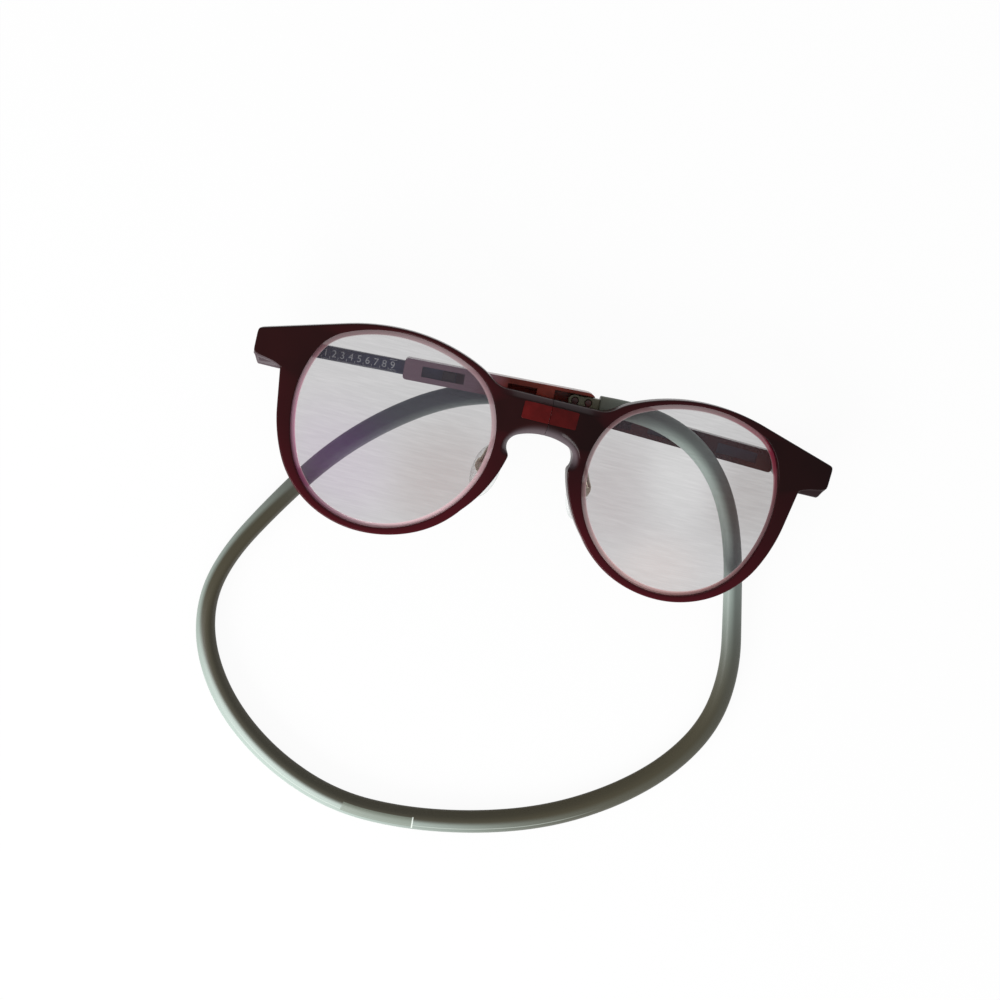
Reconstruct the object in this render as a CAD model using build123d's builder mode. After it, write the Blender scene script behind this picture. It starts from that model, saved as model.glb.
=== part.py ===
from build123d import *
import math
import os

# Reading glasses whose bridge parts at two magnets, lying folded on a table with the front up.
# +X runs along the front to the right, +Y to the front's top edge, +Z is the table's normal.
# Each half is drawn once in a plane of its own, with x outward from the bridge, y up the front
# and w out of the front face.

os.makedirs("parts", exist_ok=True)

MM = 1.0
DEG = 1.0
LEFT = -1
RIGHT = 1
SIDES = ((LEFT, "left"), (RIGHT, "right"))
overrun = 2.0 * MM

# Lens and rim
lens_width = 46.4 * MM
lens_height = 44.9 * MM
lens_spacing = 66.8 * MM
lens_skew = 1.8 * MM
lens_lift = 2.7 * MM
lens_out_top_corner = 11.8 * MM
lens_in_top_corner = 15.8 * MM
lens_in_foot_corner = 26.2 * MM
lens_out_foot_corner = 18.6 * MM
lens_lap = 0.4 * MM
lens_fit = 0.05 * MM
lens_middle = 2.2 * MM
lens_front_radius = 110.0 * MM
lens_back_radius = 140.0 * MM
lens_bulge = 1.5 * MM
rim_depth = 3.6 * MM
rim_lip = 0.55 * MM
rim_top = 0.9 * MM
rim_bottom = 1.45 * MM
rim_temporal = 3.5 * MM
rim_nasal = 1.9 * MM
rim_skew = 1.1 * MM
rim_lift = 5.1 * MM
rim_out_top_corner = 4.0 * MM
rim_in_top_corner = 15.0 * MM
rim_in_foot_corner = 23.9 * MM
rim_out_foot_corner = 22.1 * MM
oval_turn = 25.0 * DEG
wrap_angle = 3.0 * DEG

# Endpiece at the outer end of each half
endpiece_reach = 7.3 * MM
endpiece_drop = 7.3 * MM
endpiece_height = 5.6 * MM
endpiece_corner = 1.0 * MM
endpiece_root_drop = 1.5 * MM
endpiece_root_inset = 6.4 * MM
endpiece_crook = 1.5 * MM
skirt_drop = 2.35 * MM
skirt_inset = 1.1 * MM
skirt_round = 0.8 * MM
skirt_behind = 0.9 * MM

# Bridge
bridge_drop = 7.25 * MM
bridge_bevel_height = 1.3 * MM
bridge_proud = 0.6 * MM
bridge_back = 5.2 * MM
bridge_bevel_depth = 2.0 * MM
bridge_step = 0.6 * MM
nasal_web = 0.9 * MM
arch_side = 1.95 * MM
arch_drop = 8.35 * MM
arch_rise_share = 0.503
arch_corner_share = 0.377
cusp_angle = 46.0 * DEG
saddle_height = 2.8 * MM
saddle_depth = 3.0 * MM
split_gap = 0.08 * MM
bridge_crook = 6.0 * MM
outline_bite = 0.4 * MM
nasal_foot_angle = 49.0 * DEG
nasal_bow_share = 0.089

# Magnet and its window
window_width = 6.3 * MM
window_height = 4.1 * MM
window_thickness = 1.0 * MM
window_seat = 0.03 * MM
magnet_width = 4.6 * MM
magnet_height = 3.2 * MM
magnet_depth = 3.0 * MM
magnet_wall = 0.7 * MM
magnet_fit = 0.05 * MM

# Hinge
hinge_inset = 2.5 * MM
hinge_drop = 2.95 * MM
hinge_behind = 1.3 * MM
hinge_over_temple = 1.0 * MM
knuckle_radius = 1.2 * MM
knuckle_middle = 1.6 * MM
knuckle_outer = 1.2 * MM
knuckle_gap = 0.1 * MM
knuckle_room = 0.3 * MM
hinge_bore = 0.6 * MM
screw_radius = 0.55 * MM
screw_head_radius = 0.95 * MM
screw_head = 0.5 * MM
leaf_thickness = 0.7 * MM
leaf_length = 5.2 * MM
leaf_start = 1.1 * MM
leaf_height = 4.3 * MM
leaf_fit = 0.02 * MM
tab_thickness = 0.7 * MM
tab_reach = 2.4 * MM
tab_bite = 0.5 * MM

# Temple: butt, core and sleeve
temple_thickness = 4.4 * MM
stack_gap = 0.55 * MM
temple_rise = -0.2 * MM
butt_overhang = 0.9 * MM
butt_top = 3.0 * MM
butt_foot = 5.4 * MM
butt_straight = 4.2 * MM
butt_length = 9.0 * MM
butt_skin = 0.15 * MM
butt_edge = 0.5 * MM
butt_round = 1.6 * MM
butt_collar = 0.5 * MM
core_height = 3.2 * MM
core_thickness = 2.2 * MM
core_start = 3.0 * MM
core_end_gap = 0.7 * MM
core_fit = 0.03 * MM
core_bevel = 0.3 * MM
clicker_length = 2.8 * MM
clicker_width = 2.0 * MM
clicker_proud = 0.6 * MM
clicker_inset = 0.4 * MM
sleeve_length = 44.4 * MM
sleeve_height = 4.9 * MM
sleeve_edge = 0.8 * MM
channel_gap = 0.22 * MM
seat_length = 10.8 * MM
groove_width = 2.4 * MM
groove_gap = 0.1 * MM
groove_start = 0.5 * MM
window_near = 4.1 * MM
window_near_length = 9.7 * MM
window_far_gap = 3.2 * MM
window_far_length = 6.7 * MM
pin_pitch = 3.1 * MM
pin_from_end = 1.9 * MM
pin_radius = 0.75 * MM
pin_fit = 0.02 * MM
pin_bite = 0.7 * MM
tongue_ring = 1.5 * MM
tongue_gap = 0.1 * MM
tongue_neck = 2.6 * MM
tongue_thickness = 2.4 * MM
tongue_pocket = 3.4 * MM
pocket_floor = 1.0 * MM
tongue_wall = 0.8 * MM
tongue_past = 0.7 * MM
left_shown_core = 30.4 * MM
right_shown_core = 9.5 * MM
left_pitch = 2.95 * DEG
right_pitch = 1.65 * DEG

# Nose pads
pad_arm_radius = 0.5 * MM
pad_arm_outset = 0.1 * MM
pad_arm_rise = 2.0 * MM
pad_arm_back = 1.5 * MM
pad_arm_bend = 0.9 * MM
pad_arm_seat = 0.9 * MM
pad_arm_fit = 0.2 * MM
left_pad_outset = 2.0 * MM
right_pad_outset = 3.4 * MM
pad_box_drop = 6.6 * MM
pad_box_behind = 2.9 * MM
pad_box_radius = 1.85 * MM
pad_box_thickness = 1.4 * MM
pad_box_hole = 1.25 * MM
pad_box_hole_depth = 0.9 * MM
pad_boss_radius = 0.85 * MM
pad_gap = 0.35 * MM
pad_length = 13.0 * MM
pad_width = 7.6 * MM
pad_thickness = 1.7 * MM
pad_edge = 0.7 * MM
pad_turn = 50.0 * DEG
pad_lean = 12.0 * DEG
pad_drop = 1.4 * MM
pad_boss_length = 0.8 * MM
pad_box_edge = 0.25 * MM

# Neckband: its route is a list of places chosen by hand, from the left sleeve to the right one
band_diameter = 4.6 * MM
band_arc_share = 0.45
band_first_run = 8.0 * MM
band_last_run = 10.2 * MM
band_route = (
    (27.3, 15.8, 7.25),
    (35.0, 12.6, 7.25),
    (41.4, 7.2, 7.2),
    (46.4, 0.0, 6.6),
    (51.0, -10.4, 4.7),
    (54.8, -23.5, 2.7),
    (58.5, -38.0, 2.3),
    (57.6, -52.1, 2.3),
    (50.8, -64.6, 2.3),
    (39.7, -75.4, 2.3),
    (25.3, -84.2, 2.3),
    (8.8, -89.8, 2.3),
    (-9.1, -92.8, 2.3),
    (-26.1, -92.4, 2.3),
    (-42.4, -86.1, 2.3),
    (-55.7, -75.9, 2.3),
    (-64.1, -63.2, 2.3),
    (-66.7, -50.4, 2.3),
    (-63.7, -38.3, 2.3),
    (-56.1, -24.8, 2.3),
    (-46.9, -10.8, 2.3),
    (-36.4, 0.1, 2.3),
    (-24.5, 8.7, 2.3),
    (-12.7, 13.0, 2.3),
)

# Sizes that follow from the ones above
lens_out = lens_spacing / 2
lens_a = lens_width / 2
lens_b = lens_height / 2
aperture_a = lens_a - lens_lap
aperture_b = lens_b - lens_lap
rim_out = lens_out + (rim_temporal - rim_nasal) / 2
rim_level = (rim_top - rim_bottom) / 2
rim_a = aperture_a + (rim_temporal + rim_nasal) / 2
rim_b = aperture_b + (rim_top + rim_bottom) / 2
tip_out = rim_out + rim_a + endpiece_reach
hinge_out = tip_out - hinge_inset
endpiece_top = rim_level + rim_b - endpiece_drop
endpiece_foot = endpiece_top - endpiece_height
rim_knot = (rim_out + rim_skew, rim_level + rim_lift)
lens_corners = {
    (1, 1): lens_out_top_corner, (-1, 1): lens_in_top_corner,
    (-1, -1): lens_in_foot_corner, (1, -1): lens_out_foot_corner,
}
rim_corners = {
    (1, 1): rim_out_top_corner, (-1, 1): rim_in_top_corner,
    (-1, -1): rim_in_foot_corner, (1, -1): rim_out_foot_corner,
}
lens_oval = (lens_a, lens_b, lens_skew, lens_lift, lens_corners)
rim_oval = (rim_a, rim_b, rim_skew, rim_lift, rim_corners)
endpiece_root = (tip_out - endpiece_root_inset, endpiece_foot - endpiece_root_drop)
hinge_level = endpiece_top - hinge_drop
nasal_out = lens_out - aperture_a - nasal_web
bridge_reach = nasal_out - bridge_step
bridge_top = rim_level + rim_b - bridge_drop
bridge_face_top = bridge_top - bridge_bevel_height
window_foot = bridge_face_top - window_height
arch_half = nasal_out - arch_side
arch_rise = arch_rise_share * arch_half
arch_corner = arch_corner_share * arch_half
arch_level = bridge_top - arch_drop - arch_rise
cusp = (
    arch_half - arch_corner + arch_corner * math.cos(math.radians(cusp_angle)),
    arch_level - arch_corner * math.sin(math.radians(cusp_angle)),
)
hinge_w = -rim_depth - hinge_behind
knuckle_stack = knuckle_middle + 2 * (knuckle_outer + knuckle_gap)
channel_length = sleeve_length - seat_length
core_length = right_shown_core + channel_length - core_end_gap
window_far = channel_length - window_far_gap - window_far_length
channel_height = core_height + 2 * channel_gap
channel_thickness = core_thickness + 2 * channel_gap
sleeve_end_radius = sleeve_height / 2
band_radius = band_diameter / 2
core_level = (temple_thickness - core_thickness) / 2
magnet_level = (window_foot + bridge_face_top) / 2
pad_arm_out = nasal_out + pad_arm_outset
pad_arm_level = arch_level + pad_arm_rise
pad_box_level = arch_level - pad_box_drop

# The two temples lie one on the other, so the front leans by the thickness of one
wrap = math.radians(wrap_angle)
hinge_arm = hinge_out * math.cos(wrap) + hinge_w * math.sin(wrap)
lean = math.asin((temple_thickness + stack_gap) / (2 * hinge_arm))
right_slope = wrap + lean
right_hinge_z = temple_thickness + hinge_over_temple
front_z = right_hinge_z + hinge_out * math.sin(right_slope) - hinge_w * math.cos(right_slope)


def half_plane(side, w=0.0):
    """Plane of one front half at w out of its front face: x outward, y up the front."""
    slope = wrap + side * lean
    x_dir = Vector(side * math.cos(slope), 0, -math.sin(slope))
    out_of_face = Vector(side * math.sin(slope), 0, math.cos(slope))
    return Plane(
        origin=out_of_face * w + Vector(0, 0, front_z),
        x_dir=x_dir,
        z_dir=out_of_face * side,
    )


def half_point(side, x, y, w):
    """Place in the room of a point given in a front half's own x, y and w."""
    return half_plane(side, w).from_local_coords(Vector(x, y, 0))


def split_plane(side):
    """Mating plane of the bridge, half the gap out from the middle, facing its own half."""
    normal = Vector(side * math.cos(lean), 0, -side * math.sin(lean))
    return Plane(origin=Vector(0, 0, front_z) + normal * (split_gap / 2), z_dir=normal)


def hinge_point(side):
    """Middle of the hinge's axis."""
    return half_point(side, hinge_out, hinge_level, hinge_w)


def temple_pitch(side):
    """Angle by which a temple climbs from its hinge to its end."""
    return math.radians(left_pitch if side == LEFT else right_pitch)


def shown_core(side):
    """Length from the hinge to the near end of the sleeve, as the glasses are set."""
    return left_shown_core if side == LEFT else right_shown_core


def temple_plane(side, level=0.0):
    """Plane of one temple at a level over its outer face: x along it, y up the front."""
    hinge = hinge_point(side)
    pitch = temple_pitch(side)
    along = Vector(-side * math.cos(pitch), math.sin(pitch), 0)
    base = hinge.Z - hinge_over_temple - temple_thickness
    return Plane(
        origin=(hinge.X, hinge.Y, base + level),
        x_dir=along,
        z_dir=(0, 0, -side),
    )


def knuckle_plane(side, height):
    """Plane square to the hinge's axis at a height on it: x to the bridge, y up from the table."""
    hinge = hinge_point(side)
    return Plane(
        origin=hinge + Vector(0, height, 0),
        x_dir=(-side, 0, 0),
        z_dir=(0, side, 0),
    )


def keep(part, node):
    """Label a finished piece and write it under its node's name."""
    part.label = node
    export_step(part, f"parts/{node}.step")


def oval_arcs(half_width, half_height, corner_radius):
    """Centres and radii of one quarter of an oval: its side, corner and top arcs, all tangent."""
    turn = math.radians(oval_turn)
    sine = math.sin(turn)
    rest = 1 - math.cos(turn)
    swing = corner_radius * (math.cos(turn) - sine)
    across = half_width - swing
    rise = half_height - swing
    side_radius = (rise * sine - across * rest) / (sine**2 - rest**2)
    top_radius = (across * sine - rise * rest) / (sine**2 - rest**2)
    side_past = side_radius - corner_radius
    side_centre = Vector(half_width - side_radius, 0)
    corner_centre = side_centre + Vector(math.cos(turn), sine) * side_past
    top_centre = Vector(0, half_height - top_radius)
    return (
        (side_centre, side_radius), (corner_centre, corner_radius), (top_centre, top_radius)
    )


def quarter_oval(centre, arcs, right, up):
    """Draw one quarter of an oval from its side to its top or foot."""
    turn = math.radians(oval_turn)
    ends = (0, turn, math.pi / 2 - turn, math.pi / 2)
    for (middle, radius), start, end in zip(arcs, ends, ends[1:]):
        places = []
        for angle in (start, (start + end) / 2, end):
            place = middle + Vector(math.cos(angle), math.sin(angle)) * radius
            places.append((centre[0] + right * place.X, centre[1] + up * place.Y))
        ThreePointArc(*places)


def oval_quarter(right, up, oval, inset=0.0):
    """Arcs of the quarter of the lens or rim that lies to one side of its knot, up or down."""
    half_width, half_height, skew, lift, corners = oval
    return oval_arcs(
        half_width - right * skew - inset,
        half_height - up * lift - inset,
        corners[right, up] - inset,
    )


def oval_outline(centre, oval, inset=0.0):
    """Outline of the lens or rim, drawn in by an inset: four quarters round the oval's knot."""
    knot = (centre[0] + oval[2], centre[1] + oval[3])
    with BuildLine() as outline:
        for right in (1, -1):
            for up in (1, -1):
                quarter_oval(knot, oval_quarter(right, up, oval, inset), right, up)
    return outline.edges()


def endpiece_outline():
    """Outline of the endpiece, whose top edge leaves the rim at a tangent."""
    middle, radius = oval_quarter(1, 1, rim_oval)[2]
    middle += Vector(*rim_knot)
    to_tip = Vector(tip_out, endpiece_top) - middle
    angle = math.atan2(to_tip.Y, to_tip.X) + math.acos(radius / to_tip.length)
    touch = middle + Vector(math.cos(angle), math.sin(angle)) * radius
    with BuildLine() as endpiece:
        Polyline(
            (lens_out, 0),
            (touch.X, touch.Y),
            (tip_out, endpiece_top),
            (tip_out, endpiece_foot),
            endpiece_root,
            (rim_out + rim_a - outline_bite, 0),
            close=True,
        )
    return endpiece.edges()


def skirt_outline():
    """Outline of the endpiece's deeper foot, which shows below its face."""
    level = endpiece_foot - skirt_drop
    with BuildLine() as skirt:
        Polyline(
            (rim_out + rim_a, hinge_level),
            (rim_out + rim_a, level),
            (tip_out - skirt_inset, level),
            (tip_out, endpiece_foot),
            (tip_out, hinge_level),
            close=True,
        )
    return skirt.edges()


def nose_outline():
    """Outline of the half bridge and of the nasal edge from its cusp down to the rim."""
    angle = math.radians(nasal_foot_angle)
    middle, radius = oval_quarter(-1, -1, rim_oval)[1]
    reach = middle + Vector(math.cos(angle), math.sin(angle)) * (radius - outline_bite)
    foot = Vector(*rim_knot) - reach
    way = foot - Vector(*cusp)
    bow = (foot + Vector(*cusp)) / 2 + Vector(way.Y, -way.X) * nasal_bow_share
    with BuildLine() as nose:
        Polyline((-overrun, cusp[1]), (-overrun, bridge_top), (lens_out, bridge_top), (lens_out, 0))
        Line((lens_out, 0), foot)
        ThreePointArc(foot, bow, cusp)
        Line(cusp, (-overrun, cusp[1]))
    return nose.edges()


def arch_outline():
    """Outline of the opening under the bridge: half an arch with a turned-in corner."""
    crown = arch_level + arch_rise
    side = arch_half - arch_corner
    crown_radius = (arch_half**2 + arch_rise**2 - 2 * arch_half * arch_corner) / (
        2 * (arch_rise - arch_corner)
    )
    turn = math.degrees(math.atan2(crown_radius - arch_rise, side))
    with BuildLine() as arch:
        CenterArc((0, crown - crown_radius), crown_radius, 90, turn - 90)
        CenterArc((side, arch_level), arch_corner, turn, -turn - cusp_angle)
        Polyline(cusp, (-overrun, cusp[1]), (-overrun, crown), (0, crown))
    return arch.edges()


def bridge_wedge(side, corners, reach):
    """Three-cornered prism along the bridge, its corners given as heights and depths."""
    profile = [half_point(side, -overrun, y, w) for y, w in corners]
    return extrude(
        Face(Wire.make_polygon(profile)), amount=reach, dir=half_plane(side).x_dir, mode=Mode.PRIVATE
    )


def make_front_half(side):
    """Rim, endpiece and half bridge, moulded in one."""
    whole_depth = bridge_back + bridge_proud
    middle, radius = oval_quarter(-1, 1, rim_oval)[1]
    crook_across = middle.X + math.sqrt(radius**2 - (bridge_top - rim_knot[1] - middle.Y) ** 2)
    with BuildPart() as front_half:
        with BuildSketch(half_plane(side, -bridge_back)):
            make_face(oval_outline((rim_out, rim_level), rim_oval))
            make_face(endpiece_outline())
            make_face(nose_outline())
            make_face(arch_outline(), mode=Mode.SUBTRACT)
            fillet(vertices().group_by(Axis.X)[-1], radius=endpiece_corner)
            crook = (rim_knot[0] - crook_across, bridge_top)
            fillet(vertices().sort_by_distance(crook)[0], radius=bridge_crook)
            fillet(vertices().sort_by_distance(endpiece_root)[0], radius=endpiece_crook)
        extrude(amount=side * whole_depth)
        # past the bridge the half is only as thick as the rim, both in front and behind
        for w, out in ((0, 1), (-rim_depth, -1)):
            with BuildSketch(half_plane(side, w)):
                with Locations((bridge_reach, 0)):
                    Rectangle(2 * tip_out, 2 * tip_out, align=(Align.MIN, Align.CENTER))
                with Locations((-overrun, cusp[1])):
                    Rectangle(2 * tip_out, 2 * tip_out, align=(Align.MIN, Align.MAX))
            extrude(amount=side * out * whole_depth, mode=Mode.SUBTRACT)
        with BuildSketch(half_plane(side, -rim_depth)):
            make_face(skirt_outline())
            fillet(vertices().group_by(Axis.Y)[0].sort_by(Axis.X)[-1], radius=skirt_round)
        extrude(amount=side * (rim_depth - skirt_behind))
        # bevel along the bridge's top, and the saddle that opens towards the front
        top = bridge_top + overrun
        low = bridge_proud - bridge_bevel_depth * (1 + overrun / (bridge_top - bridge_face_top))
        bevel = ((bridge_face_top, bridge_proud), (top, bridge_proud), (top, low))
        crown = arch_level + arch_rise
        saddle = (
            (crown - overrun, bridge_proud),
            (crown - overrun, bridge_proud - saddle_depth * (1 + overrun / saddle_height)),
            (crown + saddle_height, bridge_proud),
        )
        add(bridge_wedge(side, bevel, overrun + bridge_reach), mode=Mode.SUBTRACT)
        add(bridge_wedge(side, saddle, overrun + arch_half), mode=Mode.SUBTRACT)
        # lens aperture and the groove that holds the lens
        with BuildSketch(half_plane(side, -whole_depth)):
            make_face(oval_outline((lens_out, 0), lens_oval, lens_lap))
        extrude(amount=2 * side * whole_depth, mode=Mode.SUBTRACT)
        with BuildSketch(half_plane(side, rim_lip - rim_depth)):
            make_face(oval_outline((lens_out, 0), lens_oval, -lens_fit))
        extrude(amount=side * (rim_depth - 2 * rim_lip), mode=Mode.SUBTRACT)
        # the step in the face that the window fills, and the magnet's pocket under it
        with BuildSketch(half_plane(side, bridge_proud - window_thickness)):
            with Locations((-overrun, window_foot)):
                Rectangle(
                    overrun + window_width, bridge_face_top - window_foot,
                    align=(Align.MIN, Align.MIN),
                )
        extrude(amount=side * whole_depth, mode=Mode.SUBTRACT)
        with BuildSketch(half_plane(side, bridge_proud - window_thickness)):
            with Locations((magnet_wall, magnet_level)):
                Rectangle(
                    magnet_width + 2 * magnet_fit, magnet_height + 2 * magnet_fit,
                    align=(Align.MIN, Align.CENTER),
                )
        extrude(amount=-side * (magnet_depth + magnet_fit), mode=Mode.SUBTRACT)
        # room for the knuckles and the seat of the hinge leaf, in the back of the endpiece
        with BuildSketch(knuckle_plane(side, 0)):
            Circle(knuckle_radius + knuckle_room)
        extrude(amount=leaf_height / 2 + knuckle_room, both=True, mode=Mode.SUBTRACT)
        with BuildSketch(half_plane(side, leaf_thickness - rim_depth)):
            with Locations((hinge_out - leaf_start + leaf_fit, hinge_level)):
                Rectangle(
                    leaf_length + 2 * leaf_fit, leaf_height + 2 * leaf_fit,
                    align=(Align.MAX, Align.CENTER),
                )
        extrude(amount=-side * overrun, mode=Mode.SUBTRACT)
        split(bisect_by=split_plane(side), keep=Keep.TOP)
    return front_half.part


def make_lens(side):
    """Lens: a dished disc cut to the lens outline, seated in the rim's groove."""
    front_centre = lens_bulge - lens_front_radius
    back_centre = lens_bulge - lens_middle - lens_back_radius
    with BuildPart() as lens:
        with BuildSketch(half_plane(side, -bridge_back)):
            make_face(oval_outline((lens_out, 0), lens_oval))
        extrude(amount=side * 2 * bridge_back)
        with Locations(half_point(side, lens_out, 0, front_centre)):
            Sphere(lens_front_radius, mode=Mode.INTERSECT)
        with Locations(half_point(side, lens_out, 0, back_centre)):
            Sphere(lens_back_radius, mode=Mode.SUBTRACT)
    return lens.part


def make_magnet(side):
    """Magnet in the end of the half bridge."""
    with BuildPart() as magnet:
        with BuildSketch(half_plane(side, bridge_proud - window_thickness - magnet_depth)):
            with Locations((magnet_wall + magnet_fit, magnet_level)):
                Rectangle(magnet_width, magnet_height, align=(Align.MIN, Align.CENTER))
        extrude(amount=side * (magnet_depth - magnet_fit))
    return magnet.part


def make_magnet_window(side):
    """Red window over the magnet, flush with the bridge it is set in."""
    with BuildPart() as magnet_window:
        with BuildSketch(half_plane(side, bridge_proud - window_thickness + window_seat)):
            with Locations((-overrun, window_foot + window_seat)):
                Rectangle(
                    overrun + window_width - window_seat,
                    bridge_face_top - window_foot - 2 * window_seat,
                    align=(Align.MIN, Align.MIN),
                )
        extrude(amount=side * (window_thickness - window_seat))
        split(bisect_by=split_plane(side), keep=Keep.TOP)
    return magnet_window.part


def make_front_hinge_leaf(side):
    """Hinge leaf let into the endpiece, with the two outer knuckles."""
    with BuildPart() as front_hinge_leaf:
        with BuildSketch(half_plane(side, -rim_depth)):
            with Locations((hinge_out - leaf_start, hinge_level)):
                Rectangle(leaf_length, leaf_height, align=(Align.MAX, Align.CENTER))
        extrude(amount=side * (leaf_thickness - leaf_fit))
        low = knuckle_middle / 2 + knuckle_gap
        for foot in (low, -low - knuckle_outer):
            with BuildSketch(knuckle_plane(side, foot)):
                Circle(knuckle_radius)
                with Locations((0, hinge_behind - tab_thickness - knuckle_gap)):
                    Rectangle(tab_reach, tab_thickness, align=(Align.MIN, Align.MIN))
                with Locations((leaf_start, hinge_behind - tab_thickness)):
                    Rectangle(
                        tab_reach - leaf_start, tab_thickness + tab_bite, align=(Align.MIN, Align.MIN)
                    )
            extrude(amount=side * knuckle_outer)
        with BuildSketch(knuckle_plane(side, 0)):
            Circle(hinge_bore)
        extrude(amount=knuckle_stack, both=True, mode=Mode.SUBTRACT)
    return front_hinge_leaf.part


def make_hinge_screw(side):
    """Screw through the three knuckles, its head over the upper one."""
    with BuildPart() as hinge_screw:
        with BuildSketch(knuckle_plane(side, -knuckle_stack / 2)):
            Circle(screw_radius)
        extrude(amount=side * (knuckle_stack + screw_head))
        with BuildSketch(knuckle_plane(side, knuckle_stack / 2 + leaf_fit)):
            Circle(screw_head_radius)
        extrude(amount=side * screw_head)
    return hinge_screw.part


def make_temple_hinge_leaf(side):
    """Hinge leaf let into the temple's butt, with the middle knuckle."""
    with BuildPart() as temple_hinge_leaf:
        with BuildSketch(temple_plane(side, temple_thickness - leaf_thickness + leaf_fit)):
            with Locations((leaf_start + knuckle_room, 0)):
                Rectangle(leaf_length, leaf_height, align=(Align.MIN, Align.CENTER))
        extrude(amount=-side * (leaf_thickness - leaf_fit))
        with BuildSketch(knuckle_plane(side, -knuckle_middle / 2)):
            Circle(knuckle_radius)
            with Locations((0, -hinge_over_temple)):
                Rectangle(tab_reach, tab_thickness, align=(Align.MIN, Align.MIN))
        extrude(amount=side * knuckle_middle)
        with BuildSketch(knuckle_plane(side, 0)):
            Circle(hinge_bore)
        extrude(amount=knuckle_stack, both=True, mode=Mode.SUBTRACT)
    return temple_hinge_leaf.part


def make_temple_butt(side):
    """Deep end of the temple at the hinge, drawn in to the height of the core."""
    core_foot = temple_rise - core_height / 2 - butt_collar
    core_top = temple_rise + core_height / 2 + butt_collar
    with BuildPart() as temple_butt:
        with BuildSketch(temple_plane(side, butt_skin)):
            with BuildLine():
                Polyline(
                    (-butt_overhang, butt_top),
                    (-butt_overhang, -butt_foot),
                    (butt_straight, -butt_foot),
                    (butt_length, core_foot),
                    (butt_length, core_top),
                    (butt_straight, butt_top),
                    close=True,
                )
            make_face()
            fillet(vertices().sort_by_distance((butt_straight, -butt_foot))[0], radius=butt_round)
            fillet(vertices().sort_by_distance((-butt_overhang, -butt_foot))[0], radius=butt_edge)
        extrude(amount=-side * (temple_thickness - butt_skin))
        with BuildSketch(temple_plane(side, core_level - core_fit)):
            with Locations((core_start - core_fit, temple_rise)):
                Rectangle(
                    butt_length, core_height + 2 * core_fit, align=(Align.MIN, Align.CENTER)
                )
        extrude(amount=-side * (core_thickness + 2 * core_fit), mode=Mode.SUBTRACT)
        with BuildSketch(temple_plane(side, temple_thickness - leaf_thickness)):
            with Locations((0, 0)):
                Rectangle(
                    leaf_start + knuckle_room + leaf_length + leaf_fit, leaf_height + 2 * leaf_fit,
                    align=(Align.MIN, Align.CENTER),
                )
        extrude(amount=-side * overrun, mode=Mode.SUBTRACT)
        with BuildSketch(knuckle_plane(side, 0)):
            Circle(knuckle_radius + knuckle_room)
        extrude(amount=leaf_height / 2 + knuckle_room, both=True, mode=Mode.SUBTRACT)
    return temple_butt.part


def make_temple_core(side):
    """Flat bar that slides in the sleeve, set in the butt at its other end."""
    with BuildPart() as temple_core:
        with BuildSketch(temple_plane(side, core_level)):
            with Locations((core_start, temple_rise)):
                Rectangle(core_length - core_start, core_height, align=(Align.MIN, Align.CENTER))
        extrude(amount=-side * core_thickness)
        chamfer(temple_core.edges().filter_by(Axis(hinge_point(side), temple_plane(side).x_dir)),
                length=core_bevel)
    return temple_core.part


def make_detent_clicker(side):
    """Square lug on the core's end that clicks into the sleeve's windows."""
    with BuildPart() as detent_clicker:
        with BuildSketch(temple_plane(side, core_level + core_thickness)):
            with Locations((core_length - clicker_inset, temple_rise)):
                Rectangle(clicker_length, clicker_width, align=(Align.MAX, Align.CENTER))
        extrude(amount=-side * clicker_proud)
    return detent_clicker.part


def make_temple_sleeve(side):
    """Clear-tinted sleeve: channel for the core, click windows, and the neckband's seat."""
    near = shown_core(side)
    far = near + sleeve_length
    with BuildPart() as temple_sleeve:
        with BuildSketch(temple_plane(side)):
            with Locations((near, temple_rise)):
                Rectangle(
                    sleeve_length - sleeve_end_radius, sleeve_height,
                    align=(Align.MIN, Align.CENTER),
                )
            with Locations((far - sleeve_end_radius, temple_rise)):
                Circle(sleeve_end_radius)
            fillet(vertices().group_by(Axis.X)[0], radius=sleeve_edge)
        extrude(amount=-side * temple_thickness)
        with BuildSketch(temple_plane(side, core_level - channel_gap)):
            with Locations((near - overrun, temple_rise)):
                Rectangle(
                    overrun + channel_length, channel_height, align=(Align.MIN, Align.CENTER)
                )
        extrude(amount=-side * channel_thickness, mode=Mode.SUBTRACT)
        # the groove that the clicker runs in, and the two windows it clicks into
        cuts = (
            (groove_start, channel_length - groove_start, clicker_proud + groove_gap),
            (window_near, window_near_length, temple_thickness),
            (window_far, window_far_length, temple_thickness),
        )
        for start, length, depth in cuts:
            with BuildSketch(temple_plane(side, core_level + core_thickness)):
                with Locations((near + start, temple_rise)):
                    Rectangle(length, groove_width, align=(Align.MIN, Align.CENTER))
            extrude(amount=-side * depth, mode=Mode.SUBTRACT)
        # open seat of the neckband's tongue, with the two pins' holes in its floor
        with BuildSketch(temple_plane(side, pocket_floor)):
            with Locations((near + channel_length + tongue_wall, temple_rise)):
                Rectangle(sleeve_length, tongue_pocket, align=(Align.MIN, Align.CENTER))
        extrude(amount=-side * temple_thickness, mode=Mode.SUBTRACT)
        with BuildSketch(temple_plane(side, pocket_floor - pin_bite)):
            with Locations(*pin_places(side)):
                Circle(pin_radius + pin_fit)
        extrude(amount=-side * temple_thickness, mode=Mode.SUBTRACT)
    return temple_sleeve.part


def pin_places(side):
    """The two pins' places along the sleeve."""
    last = shown_core(side) + sleeve_length - pin_from_end
    return ((last - pin_pitch, temple_rise), (last, temple_rise))


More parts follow.
